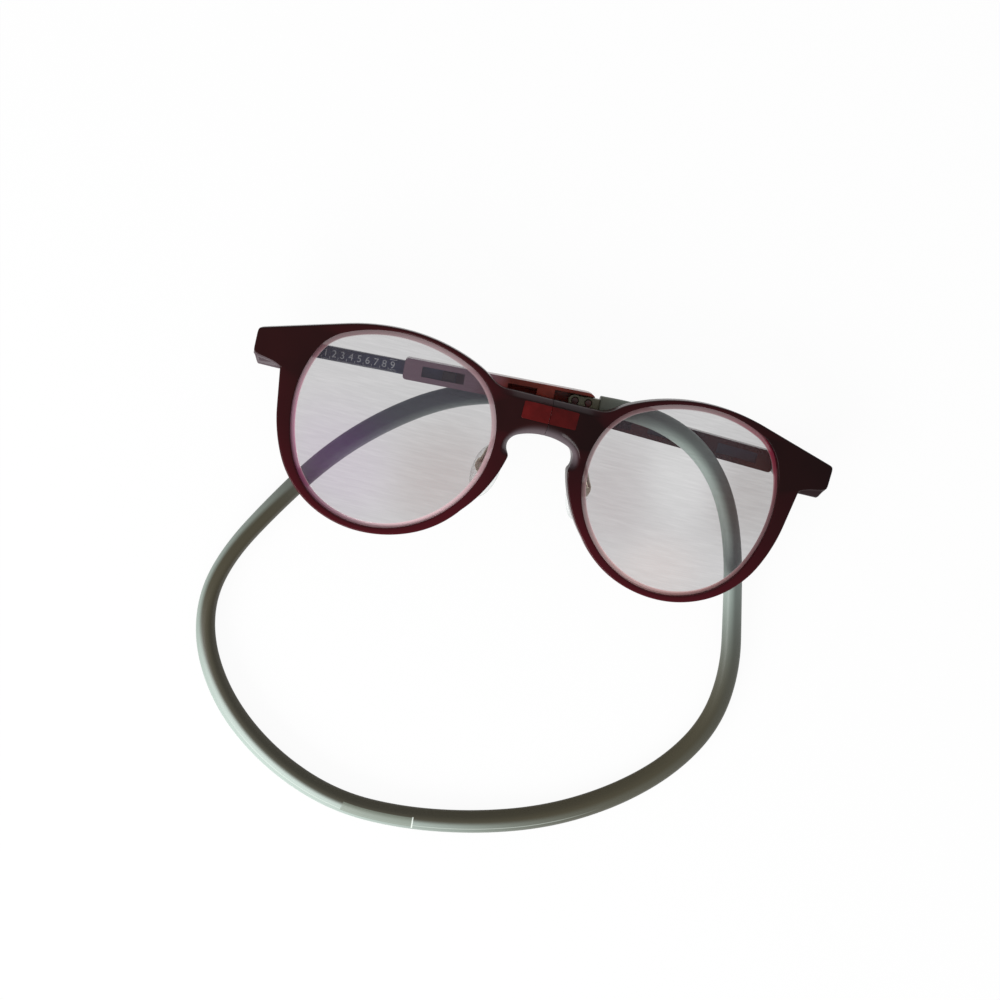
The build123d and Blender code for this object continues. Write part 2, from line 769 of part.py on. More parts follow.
def make_band_pins(side):
    """Two round pins that stand in the sleeve's floor and hold the tongue's rings."""
    with BuildPart() as band_pins:
        with BuildSketch(temple_plane(side, pocket_floor - pin_bite)):
            with Locations(*pin_places(side)):
                Circle(pin_radius)
        extrude(amount=-side * (pin_bite + tongue_thickness))
    return band_pins.part


def make_band_tongue(side):
    """The neckband's end: two rings round the pins and a neck that leaves the sleeve."""
    last = pin_places(side)[1][0]
    with BuildPart() as band_tongue:
        with BuildSketch(temple_plane(side, pocket_floor + tongue_gap)):
            with Locations(*pin_places(side)):
                Circle(tongue_ring)
            with Locations((last - pin_pitch, temple_rise)):
                Rectangle(pin_pitch, tongue_neck, align=(Align.MIN, Align.CENTER))
            with Locations((last, temple_rise)):
                Rectangle(
                    pin_from_end + tongue_past, tongue_neck, align=(Align.MIN, Align.CENTER)
                )
            with Locations(*pin_places(side)):
                Circle(pin_radius + tongue_gap, mode=Mode.SUBTRACT)
        extrude(amount=-side * tongue_thickness)
    return band_tongue.part


def pad_box_out(side):
    """How far out from the bridge a pad's box lies; the right one is splayed more."""
    return nasal_out + (left_pad_outset if side == LEFT else right_pad_outset)


def pad_plane(side, out=0.0):
    """Plane square to the pad's own axis, at a distance out of the box's middle to the nose."""
    turn = math.radians(pad_turn)
    lean_in = math.radians(pad_lean)
    half = half_plane(side)
    outward = half.x_dir
    face = half.z_dir * side
    up = half.y_dir
    to_nose = outward * -math.cos(turn) - face * math.sin(turn)
    across = outward * math.sin(turn) - face * math.cos(turn)
    middle = half_point(side, pad_box_out(side), pad_box_level, -rim_depth - pad_box_behind)
    long_way = up * math.cos(lean_in) - across * math.sin(lean_in)
    return Plane(origin=middle + to_nose * out, x_dir=long_way, z_dir=to_nose)


def make_pad_arm(side):
    """Bent wire from the back of the rim to the back of the pad's box."""
    points = [
        half_point(side, pad_arm_out, pad_arm_level, -rim_depth),
        half_point(side, pad_arm_out, pad_arm_level, -rim_depth - pad_arm_back),
        pad_plane(side, -pad_box_thickness / 2 - pad_arm_radius - pad_arm_fit).from_local_coords(
            Vector(pad_arm_seat, 0, 0)
        ),
    ]
    with BuildPart() as pad_arm:
        with BuildLine():
            wire = FilletPolyline(*points, radius=pad_arm_bend)
        with BuildSketch(Plane(origin=points[0], z_dir=wire % 0)):
            Circle(pad_arm_radius)
        sweep(path=wire)
    return pad_arm.part


def make_pad_box(side):
    """Round metal box that carries the pad, with a blind hole for the pad's boss."""
    with BuildPart() as pad_box:
        with BuildSketch(pad_plane(side, -pad_box_thickness / 2)):
            Circle(pad_box_radius)
        extrude(amount=pad_box_thickness)
        chamfer(pad_box.edges().group_by(SortBy.LENGTH)[-1], length=pad_box_edge)
        with BuildSketch(pad_plane(side, pad_box_thickness / 2 - pad_box_hole_depth)):
            Circle(pad_box_hole)
        extrude(amount=pad_box_thickness, mode=Mode.SUBTRACT)
    return pad_box.part


def make_nose_pad(side):
    """Soft oval pad with a boss that sits loosely in the box."""
    back = pad_box_thickness / 2 + pad_gap
    with BuildPart() as nose_pad:
        with BuildSketch(pad_plane(side, back)):
            with Locations((-pad_drop, 0)):
                SlotOverall(pad_length, pad_width)
        extrude(amount=pad_thickness)
        chamfer(nose_pad.faces().sort_by(Axis(pad_plane(side).origin, pad_plane(side).z_dir))[-1]
                .edges(), length=pad_edge)
        with BuildSketch(pad_plane(side, back)):
            Circle(pad_boss_radius)
        extrude(amount=-pad_boss_length)
    return nose_pad.part


def band_end(side):
    """Where the neckband meets its tongue, and the way it leaves the sleeve."""
    along = shown_core(side) + sleeve_length + tongue_past
    level = pocket_floor + tongue_gap + tongue_thickness / 2
    plane = temple_plane(side, level)
    return plane.from_local_coords(Vector(along, temple_rise, 0)), plane.x_dir


def make_neckband():
    """Neckband: a round tube along straight runs joined by arcs as large as the runs allow."""
    start, start_way = band_end(LEFT)
    finish, finish_way = band_end(RIGHT)
    points = [start, start + start_way * band_first_run]
    points += [Vector(*place) for place in band_route]
    points += [finish + finish_way * band_last_run, finish]
    radii = []
    for before, here, after in zip(points, points[1:], points[2:]):
        turn = math.radians((here - before).get_angle(after - here))
        shorter = min((here - before).length, (after - here).length)
        radii.append(band_arc_share * shorter / math.tan(turn / 2))
    with BuildPart() as neckband:
        with BuildLine():
            route = FilletPolyline(*points, radius=radii)
        with BuildSketch(Plane(origin=start, z_dir=route % 0)):
            Circle(band_radius)
        sweep(path=route)
    section = math.pi * band_radius**2
    runs = [(b - a).length for a, b in zip(points, points[1:])]
    print("neckband points mm", [tuple(round(v, 3) for v in point) for point in points])
    print("neckband runs mm", [round(run, 1) for run in runs])
    print("neckband radii mm", [round(radius, 1) for radius in radii])
    print("neckband length mm", round(route.length, 1))
    print("neckband volume over section times length", round(
        neckband.part.volume / (section * route.length), 4))
    return neckband.part


PIECES = (
    ("front_half", make_front_half),
    ("lens", make_lens),
    ("magnet", make_magnet),
    ("magnet_window", make_magnet_window),
    ("front_hinge_leaf", make_front_hinge_leaf),
    ("hinge_screw", make_hinge_screw),
    ("temple_hinge_leaf", make_temple_hinge_leaf),
    ("temple_butt", make_temple_butt),
    ("temple_core", make_temple_core),
    ("detent_clicker", make_detent_clicker),
    ("temple_sleeve", make_temple_sleeve),
    ("band_pins", make_band_pins),
    ("band_tongue", make_band_tongue),
    ("pad_arm", make_pad_arm),
    ("pad_box", make_pad_box),
    ("nose_pad", make_nose_pad),
)

for side, name in SIDES:
    for piece, make in PIECES:
        keep(make(side), f"{name}_{piece}")
    hinge = hinge_point(side)
    slide = temple_plane(side).x_dir
    box = pad_plane(side).origin
    print(name, "hinge", hinge, "slide", slide * -1, "pad box", box, "pad axis", pad_plane(side).x_dir)

keep(make_neckband(), "neckband")
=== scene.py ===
import math

import bmesh
import bpy
import numpy as np
from bpy.props import FloatProperty, FloatVectorProperty, IntProperty, PointerProperty
from mathutils import Matrix, Vector


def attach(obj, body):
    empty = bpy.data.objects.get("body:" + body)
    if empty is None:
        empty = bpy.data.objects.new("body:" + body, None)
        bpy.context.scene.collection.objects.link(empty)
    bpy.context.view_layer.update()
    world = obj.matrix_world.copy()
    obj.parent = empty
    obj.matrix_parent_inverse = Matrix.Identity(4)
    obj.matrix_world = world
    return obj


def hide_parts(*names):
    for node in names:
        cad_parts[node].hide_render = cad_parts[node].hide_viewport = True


bl_info = {
    "name": "Magnetic bridge reading glasses",
    "version": (1, 0, 0),
    "blender": (4, 5, 0),
    "location": "3D Viewport > Sidebar > Glasses",
    "description": "Dresses the packed reading glasses: rims, lenses, temples, pads and neckband",
    "category": "Object",
}

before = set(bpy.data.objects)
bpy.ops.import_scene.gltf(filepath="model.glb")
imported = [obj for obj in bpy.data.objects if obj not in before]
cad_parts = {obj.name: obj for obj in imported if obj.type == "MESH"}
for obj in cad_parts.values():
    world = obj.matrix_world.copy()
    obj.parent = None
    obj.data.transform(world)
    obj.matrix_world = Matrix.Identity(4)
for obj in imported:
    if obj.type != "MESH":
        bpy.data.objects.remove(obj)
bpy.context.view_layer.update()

LEFT, RIGHT = -1, 1
SIDES = ((LEFT, "left"), (RIGHT, "right"))
MM = 0.001

# Sizes that the CAD model also has, in millimetres
LENS_OUT = 33.4
LENS_TOP, LENS_FRONT_RADIUS = 1.5, 110.0
LENS_UNDER, LENS_BACK_RADIUS = -0.7, 140.0
TEMPLE_THICKNESS = 4.4
STACK_GAP = 0.55
HINGE_OVER_TEMPLE = 1.0
HINGE_OUT, HINGE_LEVEL, HINGE_W = 64.5, 12.7, -4.9
WRAP = math.radians(3.0)
HINGE_ARM = HINGE_OUT * math.cos(WRAP) + HINGE_W * math.sin(WRAP)
LEAN = math.asin((TEMPLE_THICKNESS + STACK_GAP) / (2 * HINGE_ARM))
HINGE_HEIGHT = TEMPLE_THICKNESS + HINGE_OVER_TEMPLE
FRONT_Z = HINGE_HEIGHT + HINGE_OUT * math.sin(WRAP + LEAN) - HINGE_W * math.cos(WRAP + LEAN)
PITCH = {LEFT: math.radians(2.95), RIGHT: math.radians(1.65)}
PAD_BOX_OUT = {LEFT: 11.7, RIGHT: 13.1}
PAD_BOX_LEVEL, PAD_BOX_W = -3.148, -6.5
TIP_OUT, TIP_TOP, TIP_FOOT = 67.0, 15.65, 10.05
BRIDGE_TOP, BRIDGE_CROOK = 15.7, 6.0
SPLIT_OUT = 0.04

# Ovals of the lens and the rim: where their quarters meet, and each quarter's half width, half
# height and corner radius, by its way right and up
OVAL_TURN = math.radians(25.0)
LENS_OVAL = ((35.2, 2.7), {
    (1, 1): (21.4, 19.75, 11.8), (-1, 1): (25.0, 19.75, 15.8),
    (-1, -1): (25.0, 25.15, 26.2), (1, -1): (21.4, 25.15, 18.6)})
RIM_OVAL = ((35.3, 4.825), {
    (1, 1): (24.4, 18.125, 4.0), (-1, 1): (26.6, 18.125, 15.0),
    (-1, -1): (26.6, 28.325, 23.9), (1, -1): (24.4, 28.325, 22.1)})
LENS_LAP = 0.4

# Painted reflections on the lens bevel, as light caught in it: the plain colour, and broad soft
# stretches by their middle and reach in degrees round the lens from its outer side
BEVEL_REFLECTION_PLAIN = {LEFT: (0.8, 0.52, 0.56), RIGHT: (0.33, 0.19, 0.2)}
BEVEL_REFLECTION_STRETCHES = {
    LEFT: ((58, 34, 0.18, 0.06, 0.07), (328, 34, 0.44, 0.05, 0.22)),
    RIGHT: ((45, 24, 0.6, 0.03, 0.1), (264, 34, 1.0, 0.57, 0.55)),
}

# Broad soft patches of the lenses: place outward and up on the lens, reach, how dense the lens
# looks there, and the colour that it scatters
LENS_PATCHES = {
    LEFT: ((19, -8, 9, 0.32, 0.12, 0.02, 0.01), (45, -11, 10, 0.26, 0.12, 0.02, 0.15)),
    RIGHT: ((17, -2, 9, 0.3, 0.09, 0.02, 0.03), (33, 5, 7, 0.18, 0.1, 0.1, 0.1),
            (50, 5, 8, 0.34, 0.07, 0.02, 0.01), (33, -19, 7, 0.22, 0.18, 0.06, 0.03)),
}
LENS_DENSITY = 0.235

# Painted light on the band: how pale its inner and its outer side are painted as lit, where across
# it the two meet (1 inner, -1 outer), and coolness, a painted cool reflection. The plain look, and
# broad soft stretches by their middle and reach on the route
BAND_PLAIN = (0.0, 0.05, 0.0, 0.1)
BAND_STRETCHES = (
    (4.0, 2.0, 1.6, 0.85, 0.0, 0.65), (16.2, 2.2, 0.0, 1.1, 0.0, 0.2),
    (19.3, 1.4, 0.0, 0.7, -0.8, 0.1), (23.9, 1.3, 0.5, 0.12, 0.5, 1.2),
)

# The neckband's route from the left sleeve to the right one, and its seen width
BAND_ROUTE = (
    (10.984, 16.386, 7.25, 4.3), (18.973, 16.798, 7.25, 4.6), (27.3, 15.8, 7.25, 4.7),
    (35.0, 12.6, 7.25, 4.7), (41.4, 7.2, 7.2, 4.6), (46.4, 0.0, 6.6, 4.5),
    (51.0, -10.4, 4.7, 4.4), (54.8, -23.5, 2.7, 4.6), (58.5, -38.0, 2.3, 5.0),
    (57.6, -52.1, 2.3, 5.3), (50.8, -64.6, 2.3, 5.6), (39.7, -75.4, 2.3, 5.9),
    (25.3, -84.2, 2.3, 6.0), (8.8, -89.8, 2.3, 5.9), (-9.1, -92.8, 2.3, 5.7),
    (-26.1, -92.4, 2.3, 5.55), (-42.4, -86.1, 2.3, 5.4), (-55.7, -75.9, 2.3, 5.3),
    (-64.1, -63.2, 2.3, 4.8), (-66.7, -50.4, 2.3, 4.25), (-63.7, -38.3, 2.3, 4.15),
    (-56.1, -24.8, 2.3, 4.4), (-46.9, -10.8, 2.3, 4.7), (-36.4, 0.1, 2.3, 5.0),
    (-24.5, 8.7, 2.3, 5.0), (-12.7, 13.0, 2.3, 4.8), (-0.99, 14.366, 2.3, 4.4),
    (9.205, 14.072, 2.3, 4.2),
)


# Places in the frame

def half_axes(side):
    """Origin and the x, y and out-of-face directions of one front half, in millimetres."""
    slope = WRAP + side * LEAN
    along = np.array((side * math.cos(slope), 0.0, -math.sin(slope)))
    out = np.array((side * math.sin(slope), 0.0, math.cos(slope)))
    return np.array((0.0, 0.0, FRONT_Z)), along, np.array((0.0, 1.0, 0.0)), out


def in_half(side, x, y, w):
    """Points of a front half's own x, y and w, in millimetres, as places in metres."""
    origin, along, up, out = half_axes(side)
    x, y, w = (np.asarray(v, dtype=float)[..., None] for v in (x, y, w))
    return (origin + along * x + up * y + out * w) * MM


def temple_axes(side):
    """Origin at the hinge, over the outer face, and the directions along and up one temple."""
    hinge = in_half(side, HINGE_OUT, HINGE_LEVEL, HINGE_W) / MM
    pitch = PITCH[side]
    along = np.array((-side * math.cos(pitch), math.sin(pitch), 0.0))
    across = np.array((side * math.sin(pitch), math.cos(pitch), 0.0))
    base = np.array((hinge[0], hinge[1], hinge[2] - HINGE_HEIGHT))
    return base, along, across, np.array((0.0, 0.0, 1.0))


def pad_axes(side):
    """Middle of the pad's box, the pad's long way, its width and the way to the nose."""
    middle = in_half(side, PAD_BOX_OUT[side], PAD_BOX_LEVEL, PAD_BOX_W) / MM
    _, outward, up, face = half_axes(side)
    turn, lean = math.radians(50.0), math.radians(12.0)
    to_nose = -outward * math.cos(turn) - face * math.sin(turn)
    across = outward * math.sin(turn) - face * math.cos(turn)
    long_way = up * math.cos(lean) - across * math.sin(lean)
    return middle, long_way, np.cross(to_nose, long_way), to_nose


def ease(t):
    """Smooth step: 0 below 0, 1 above 1, with level ends."""
    t = np.clip(t, 0.0, 1.0)
    return t * t * (3 - 2 * t)


# Meshes

def soft_blend(plain, patches):
    """A plain look blended with patches of others, each given with how many reaches every point
    is from its middle: it weighs 4 there, against 1 for the plain look, and fades as a bell."""
    shares = [4 * np.exp(-gone ** 2) for gone, _ in patches]
    looks = sum(share[..., None] * np.array(look) for share, (_, look) in zip(shares, patches))
    return (np.array(plain) + looks) / (1 + sum(shares))[..., None]


def grid_mesh(name, points, wrap_rows=False, wrap_cols=True, caps=(False, False), flip=False,
              uv=None, values=None):
    """Mesh of a grid of points, rows by columns: one quad a cell, with optional end fans."""
    rows, cols = points.shape[:2]
    coords = points.reshape(-1, 3)
    r = np.arange(rows if wrap_rows else rows - 1)
    c = np.arange(cols if wrap_cols else cols - 1)
    rr, cc = (a.ravel() for a in np.meshgrid(r, c, indexing="ij"))
    r2, c2 = (rr + 1) % rows, (cc + 1) % cols
    quads = np.stack((rr * cols + cc, r2 * cols + cc, r2 * cols + c2, rr * cols + c2), axis=1)
    fans = []
    centres = []
    for end, wanted in enumerate(caps):
        if not wanted:
            continue
        row = points[-1 if end else 0]
        centres.append(row.mean(axis=0))
        hub = len(coords) + len(centres) - 1
        base = (rows - 1) * cols if end else 0
        a = base + np.arange(cols)
        b = base + (np.arange(cols) + 1) % cols
        hubs = np.full(cols, hub)
        fans.append(np.stack((b, hubs, a) if end == 0 else (a, hubs, b), axis=1))
    if centres:
        coords = np.vstack((coords, np.array(centres)))
    if flip:
        quads = quads[:, ::-1]
        fans = [f[:, ::-1] for f in fans]
    mesh = bpy.data.meshes.new(name)
    mesh.from_pydata(coords, [], [q for part in (quads, *fans) for q in part.tolist()])
    if uv is not None:
        u, v = uv
        u_next = np.append(u[1:], 2 * u[-1] - u[-2])
        v_next = np.append(v[1:], 2 * v[-1] - v[-2])
        corners = np.stack((
            np.stack((u[rr], v[cc]), 1), np.stack((u_next[rr], v[cc]), 1),
            np.stack((u_next[rr], v_next[cc]), 1), np.stack((u[rr], v_next[cc]), 1)), axis=1)
        if flip:
            corners = corners[:, ::-1]
        flat = np.zeros((len(mesh.loops), 2))
        flat[: corners.size // 2] = corners.reshape(-1, 2)
        mesh.uv_layers.new(name="surface").data.foreach_set("uv", flat.ravel())
    for label, value in (values or {}).items():
        flat = value.reshape(rows * cols, -1)
        full = np.vstack((flat, np.repeat(flat[-1:], len(coords) - rows * cols, axis=0)))
        if full.shape[1] == 1:
            mesh.attributes.new(label, "FLOAT", "POINT").data.foreach_set("value", full.ravel())
        else:
            full = np.column_stack((full, np.ones(len(full))))
            colors = mesh.attributes.new(label, "FLOAT_COLOR", "POINT").data
            colors.foreach_set("color", full.ravel())
    mesh.update()
    mesh.shade_smooth()
    return mesh


def add_piece(name, mesh, body, material, replaced=()):
    """Puts a mesh in the scene as a piece that rides on a body and stands for CAD nodes."""
    piece = bpy.data.objects.new(name, mesh)
    bpy.context.scene.collection.objects.link(piece)
    mesh.materials.clear()
    mesh.materials.append(material)
    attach(piece, body)
    if replaced:
        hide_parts(*replaced)
    return piece


def outline_rows(outline, profile):
    """Rows of a plate: the outline moved in along its normals by each (inset, height) pair."""
    before, after = np.roll(outline, 1, axis=0), np.roll(outline, -1, axis=0)
    way = after - before
    way /= np.linalg.norm(way, axis=1)[:, None]
    inward = np.stack((-way[:, 1], way[:, 0]), axis=1)
    rows = []
    for inset, height in profile:
        flat = outline + inward * inset
        rows.append(np.column_stack((flat, np.full(len(flat), height))))
    return np.array(rows)


def rounded_rectangle(x0, x1, y0, y1, radii, steps=7):
    """Outline of a rectangle, anticlockwise, each corner an arc: x0y0, x1y0, x1y1, x0y1."""
    points = []
    corners = ((x0, y0, 1, 1, 180), (x1, y0, -1, 1, 270), (x1, y1, -1, -1, 0), (x0, y1, 1, -1, 90))
    for (x, y, sx, sy, start), radius in zip(corners, radii):
        angle = np.radians(start + np.linspace(0, 90, steps))
        points.append(np.stack((
            x + sx * radius + radius * np.cos(angle), y + sy * radius + radius * np.sin(angle)), 1))
    return np.vstack(points)


def slab_profile(low, high, edge, fine=4):
    """Insets and heights of a slab's side with quarter-round edges, from below to the top."""
    a = np.radians(np.linspace(0, 90, fine + 1))
    lower = [(edge * (1 - math.sin(t)), low + edge * (1 - math.cos(t))) for t in a]
    upper = [(edge * (1 - math.cos(t)), high - edge * (1 - math.sin(t))) for t in a]
    return lower + upper


def dressed_copy(name, node, body, material, edge, segments=2):
    """A CAD node's mesh, merged and with its edges rounded, as a piece in its place."""
    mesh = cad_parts[node].data.copy()
    mesh.name = name
    shape = bmesh.new()
    shape.from_mesh(mesh)
    bmesh.ops.remove_doubles(shape, verts=shape.verts, dist=2e-7)
    bmesh.ops.dissolve_limit(
        shape, angle_limit=math.radians(0.5), verts=shape.verts, edges=shape.edges)
    shape.to_mesh(mesh)
    shape.free()
    mesh.shade_smooth()
    mesh.set_sharp_from_angle(angle=math.radians(35))
    piece = add_piece(name, mesh, body, material, (node,))
    if edge > 0:
        bevel = piece.modifiers.new("rounded edges", "BEVEL")
        bevel.width = edge
        bevel.segments = segments
        bevel.limit_method = "ANGLE"
        bevel.angle_limit = math.radians(40)
        bevel.harden_normals = True
    return piece


# Materials

def new_group(name, inputs, outputs):
    """Empty shader node group with its sockets and the two ends in place."""
    group = bpy.data.node_groups.new(name, "ShaderNodeTree")
    for label, kind, default in inputs:
        socket = group.interface.new_socket(label, in_out="INPUT", socket_type=kind)
        socket.default_value = default
    for label, kind in outputs:
        group.interface.new_socket(label, in_out="OUTPUT", socket_type=kind)
    return group, group.nodes.new("NodeGroupInput"), group.nodes.new("NodeGroupOutput")


def node(tree, kind, links=None, **settings):
    """One node with its settings and its inputs set or linked."""
    made = tree.nodes.new(kind)
    for key, value in settings.items():
        setattr(made, key, value)
    for key, value in (links or {}).items():
        socket = made.inputs[key]
        if isinstance(value, bpy.types.NodeSocket):
            tree.links.new(value, socket)
        else:
            socket.default_value = value
    return made


def cloudy_group():
    """Cloudy: mixes two colours by soft noise in millimetres, as in tinted moulded plastic."""
    if "Cloudy" in bpy.data.node_groups:
        return bpy.data.node_groups["Cloudy"]
    group, start, end = new_group(
        "Cloudy",
        (("Low", "NodeSocketColor", (0, 0, 0, 1)), ("High", "NodeSocketColor", (1, 1, 1, 1)),
         ("Size", "NodeSocketFloat", 90.0), ("Shift", "NodeSocketFloat", 0.0)),
        (("Color", "NodeSocketColor"), ("Mask", "NodeSocketFloat")))
    place = node(group, "ShaderNodeTexCoord")
    noise = node(group, "ShaderNodeTexNoise", {
        "Vector": place.outputs["Object"], "Scale": start.outputs["Size"], "Detail": 3.0})
    moved = node(group, "ShaderNodeMath", {0: noise.outputs["Fac"], 1: start.outputs["Shift"]},
                 operation="ADD")
    mask = node(group, "ShaderNodeMapRange", {
        "Value": moved.outputs[0], "From Min": 0.32, "From Max": 0.68},
        interpolation_type="SMOOTHSTEP")
    mixed = mix_color(group, mask.outputs[0], start.outputs["Low"], start.outputs["High"])
    group.links.new(mixed, end.inputs["Color"])
    group.links.new(mask.outputs[0], end.inputs["Mask"])
    return group


def handled_group():
    """Handled: fine grain height and small roughness changes, as left by moulding and use."""
    if "Handled" in bpy.data.node_groups:
        return bpy.data.node_groups["Handled"]
    group, start, end = new_group(
        "Handled",
        (("Roughness", "NodeSocketFloat", 0.3), ("Change", "NodeSocketFloat", 0.08),
         ("Grain", "NodeSocketFloat", 4000.0)),
        (("Roughness", "NodeSocketFloat"), ("Height", "NodeSocketFloat")))
    place = node(group, "ShaderNodeTexCoord")
    smears = node(group, "ShaderNodeTexNoise", {
        "Vector": place.outputs["Object"], "Scale": 260.0, "Detail": 4.0})
    grain = node(group, "ShaderNodeTexNoise", {
        "Vector": place.outputs["Object"], "Scale": start.outputs["Grain"], "Detail": 2.0})
    centred = node(group, "ShaderNodeMath", {0: smears.outputs["Fac"], 1: 0.5},
                   operation="SUBTRACT")
    scaled = node(group, "ShaderNodeMath", {0: centred.outputs[0], 1: start.outputs["Change"]},
                  operation="MULTIPLY")
    total = node(group, "ShaderNodeMath", {0: start.outputs["Roughness"], 1: scaled.outputs[0]},
                 operation="ADD", use_clamp=True)
    group.links.new(total.outputs[0], end.inputs["Roughness"])
    group.links.new(grain.outputs["Fac"], end.inputs["Height"])
    return group


def mix_color(tree, factor, low, high, blend="MIX"):
    """Mix of two colours; returns the output socket."""
    mix = tree.nodes.new("ShaderNodeMix")
    mix.data_type = "RGBA"
    mix.blend_type = blend
    for socket, value in ((mix.inputs[0], factor), (mix.inputs[6], low), (mix.inputs[7], high)):
        if isinstance(value, bpy.types.NodeSocket):
            tree.links.new(value, socket)
        else:
            socket.default_value = value
    return mix.outputs[2]


def shade(rgb):
    """A colour's three numbers with an alpha of 1."""
    return (rgb[0], rgb[1], rgb[2], 1.0)


def finish_material(name, low, high, size=90.0, roughness=0.3, change=0.1, grain=3000.0,
                    bump=0.03, shift=0.0, **sockets):
    """Principled material from the Cloudy and Handled groups, with plain socket values; returns
    it with its tree, its shader and its colour socket."""
    material = bpy.data.materials.new(name)
    material.use_nodes = True
    tree = material.node_tree
    shader = tree.nodes["Principled BSDF"]
    cloudy = node(tree, "ShaderNodeGroup", node_tree=cloudy_group())
    cloudy.inputs["Low"].default_value = shade(low)
    cloudy.inputs["High"].default_value = shade(high)
    cloudy.inputs["Size"].default_value = size
    cloudy.inputs["Shift"].default_value = shift
    handled = node(tree, "ShaderNodeGroup", node_tree=handled_group())
    handled.inputs["Roughness"].default_value = roughness
    handled.inputs["Change"].default_value = change
    handled.inputs["Grain"].default_value = grain
    height = node(tree, "ShaderNodeBump", {
        "Height": handled.outputs["Height"], "Strength": bump, "Distance": 0.0001})
    tree.links.new(cloudy.outputs["Color"], shader.inputs["Base Color"])
    tree.links.new(handled.outputs["Roughness"], shader.inputs["Roughness"])
    tree.links.new(height.outputs["Normal"], shader.inputs["Normal"])
    for label, value in sockets.items():
        shader.inputs[label.replace("_", " ")].default_value = value
    if sockets.get("Alpha", 1.0) < 1.0:
        material.surface_render_method = "BLENDED"
    return material, tree, shader, cloudy.outputs["Color"]


def rim_material(name, deep, thin):
    """Dark tinted plastic that shows redder where it is thin and lit through."""
    material, tree, shader, body = finish_material(
        name, deep, [v * 1.35 for v in deep], 60.0, 0.22, 0.08, 2500.0, 0.02)
    shader.inputs["Specular IOR Level"].default_value = 0.05
    shader.inputs["Coat Weight"].default_value = 0.12
    shader.inputs["Coat Roughness"].default_value = 0.08
    thinness = node(tree, "ShaderNodeAttribute", attribute_name="thin")
    color = mix_color(tree, thinness.outputs["Fac"], body, shade(thin))
    # painted sheen: a grey is mixed in where the 'pale' mask is set, on the saddle, the bevel and
    # the endpiece's foot
    pale = node(tree, "ShaderNodeAttribute", attribute_name="pale")
    color = mix_color(tree, pale.outputs["Fac"], color, (0.15, 0.12, 0.135, 1.0))
    tree.links.new(color, shader.inputs["Base Color"])
    return material


def sleeve_material(name, tone, alpha):
    """Tinted sleeve plastic, with the lens's reflection painted on: greyer where the left sleeve's
    near end lies under the lens.
    """
    material, tree, shader, body = finish_material(
        name, tone, [v * 2.0 for v in tone], 170.0, 0.18, 0.1, 2500.0, 0.002, Alpha=alpha,
        Specular_IOR_Level=0.15)
    place = node(tree, "ShaderNodeTexCoord")
    across = node(tree, "ShaderNodeSeparateXYZ", {"Vector": place.outputs["Object"]})
    near = node(tree, "ShaderNodeMapRange", {
        "Value": across.outputs[0], "From Min": -0.018, "From Max": -0.01,
        "To Min": 1.0, "To Max": 0.0})
    # painted lens reflection: the left sleeve's near end, under the lens, is painted a greyer mauve
    color = mix_color(tree, near.outputs[0], body, (0.27, 0.175, 0.225, 1.0))
    tree.links.new(color, shader.inputs["Base Color"])
    return material


def lens_material(name):
    """Clear lens: faint tinted haze with fine wiping marks, and a bevel near its edge with painted
    reflections.
    """
    material = bpy.data.materials.new(name)
    material.use_nodes = True
    tree = material.node_tree
    shader = tree.nodes["Principled BSDF"]
    place = node(tree, "ShaderNodeTexCoord")
    drawn = node(tree, "ShaderNodeMapping", {
        "Vector": place.outputs["Object"], "Rotation": (0, 0, math.radians(-3)),
        "Scale": (160, 2600, 160)})
    streaks = node(tree, "ShaderNodeTexNoise", {
        "Vector": drawn.outputs[0], "Scale": 1.0, "Detail": 6.0, "Roughness": 0.62})
    soft = node(tree, "ShaderNodeTexNoise", {
        "Vector": place.outputs["Object"], "Scale": 45.0, "Detail": 1.0})
    band = node(tree, "ShaderNodeAttribute", attribute_name="bevel")
    haze_and_reflection = node(tree, "ShaderNodeAttribute", attribute_name="haze_and_reflection")
    veil = node(tree, "ShaderNodeAttribute", attribute_name="veil")
    uneven = mix_color(tree, soft.outputs["Fac"], (0.7, 0.7, 0.7, 1.0), (1.3, 1.15, 1.35, 1.0))
    low = node(tree, "ShaderNodeMath", {0: 1.0, 1: band.outputs["Fac"]}, operation="SUBTRACT")
    color = mix_color(tree, low.outputs[0], haze_and_reflection.outputs["Color"], uneven, "MULTIPLY")
    # the bevel's inner edge catches the light as a thin line
    line = node(tree, "ShaderNodeMath", {0: low.outputs[0], 1: band.outputs["Fac"]},
                operation="MULTIPLY")
    line = node(tree, "ShaderNodeMath", {0: line.outputs[0], 1: 2.4}, operation="MULTIPLY")
    color = mix_color(tree, line.outputs[0], color, (0.78, 0.6, 0.62, 1.0))
    # wiping marks let more of the table through
    marks = node(tree, "ShaderNodeMapRange", {
        "Value": streaks.outputs["Fac"], "From Min": 0.42, "From Max": 0.72,
        "To Min": 0.02, "To Max": -0.035})
    clear = node(tree, "ShaderNodeMath", {0: marks.outputs[0], 1: veil.outputs["Fac"]},
                 operation="ADD")
    alpha = node(tree, "ShaderNodeMapRange", {
        "Value": band.outputs["Fac"], "To Min": clear.outputs[0], "To Max": 0.88})
    tree.links.new(color, shader.inputs["Base Color"])
    tree.links.new(alpha.outputs[0], shader.inputs["Alpha"])
    shader.inputs["Roughness"].default_value = 0.06
    shader.inputs["Specular IOR Level"].default_value = 0.3
    material.surface_render_method = "BLENDED"
    return material


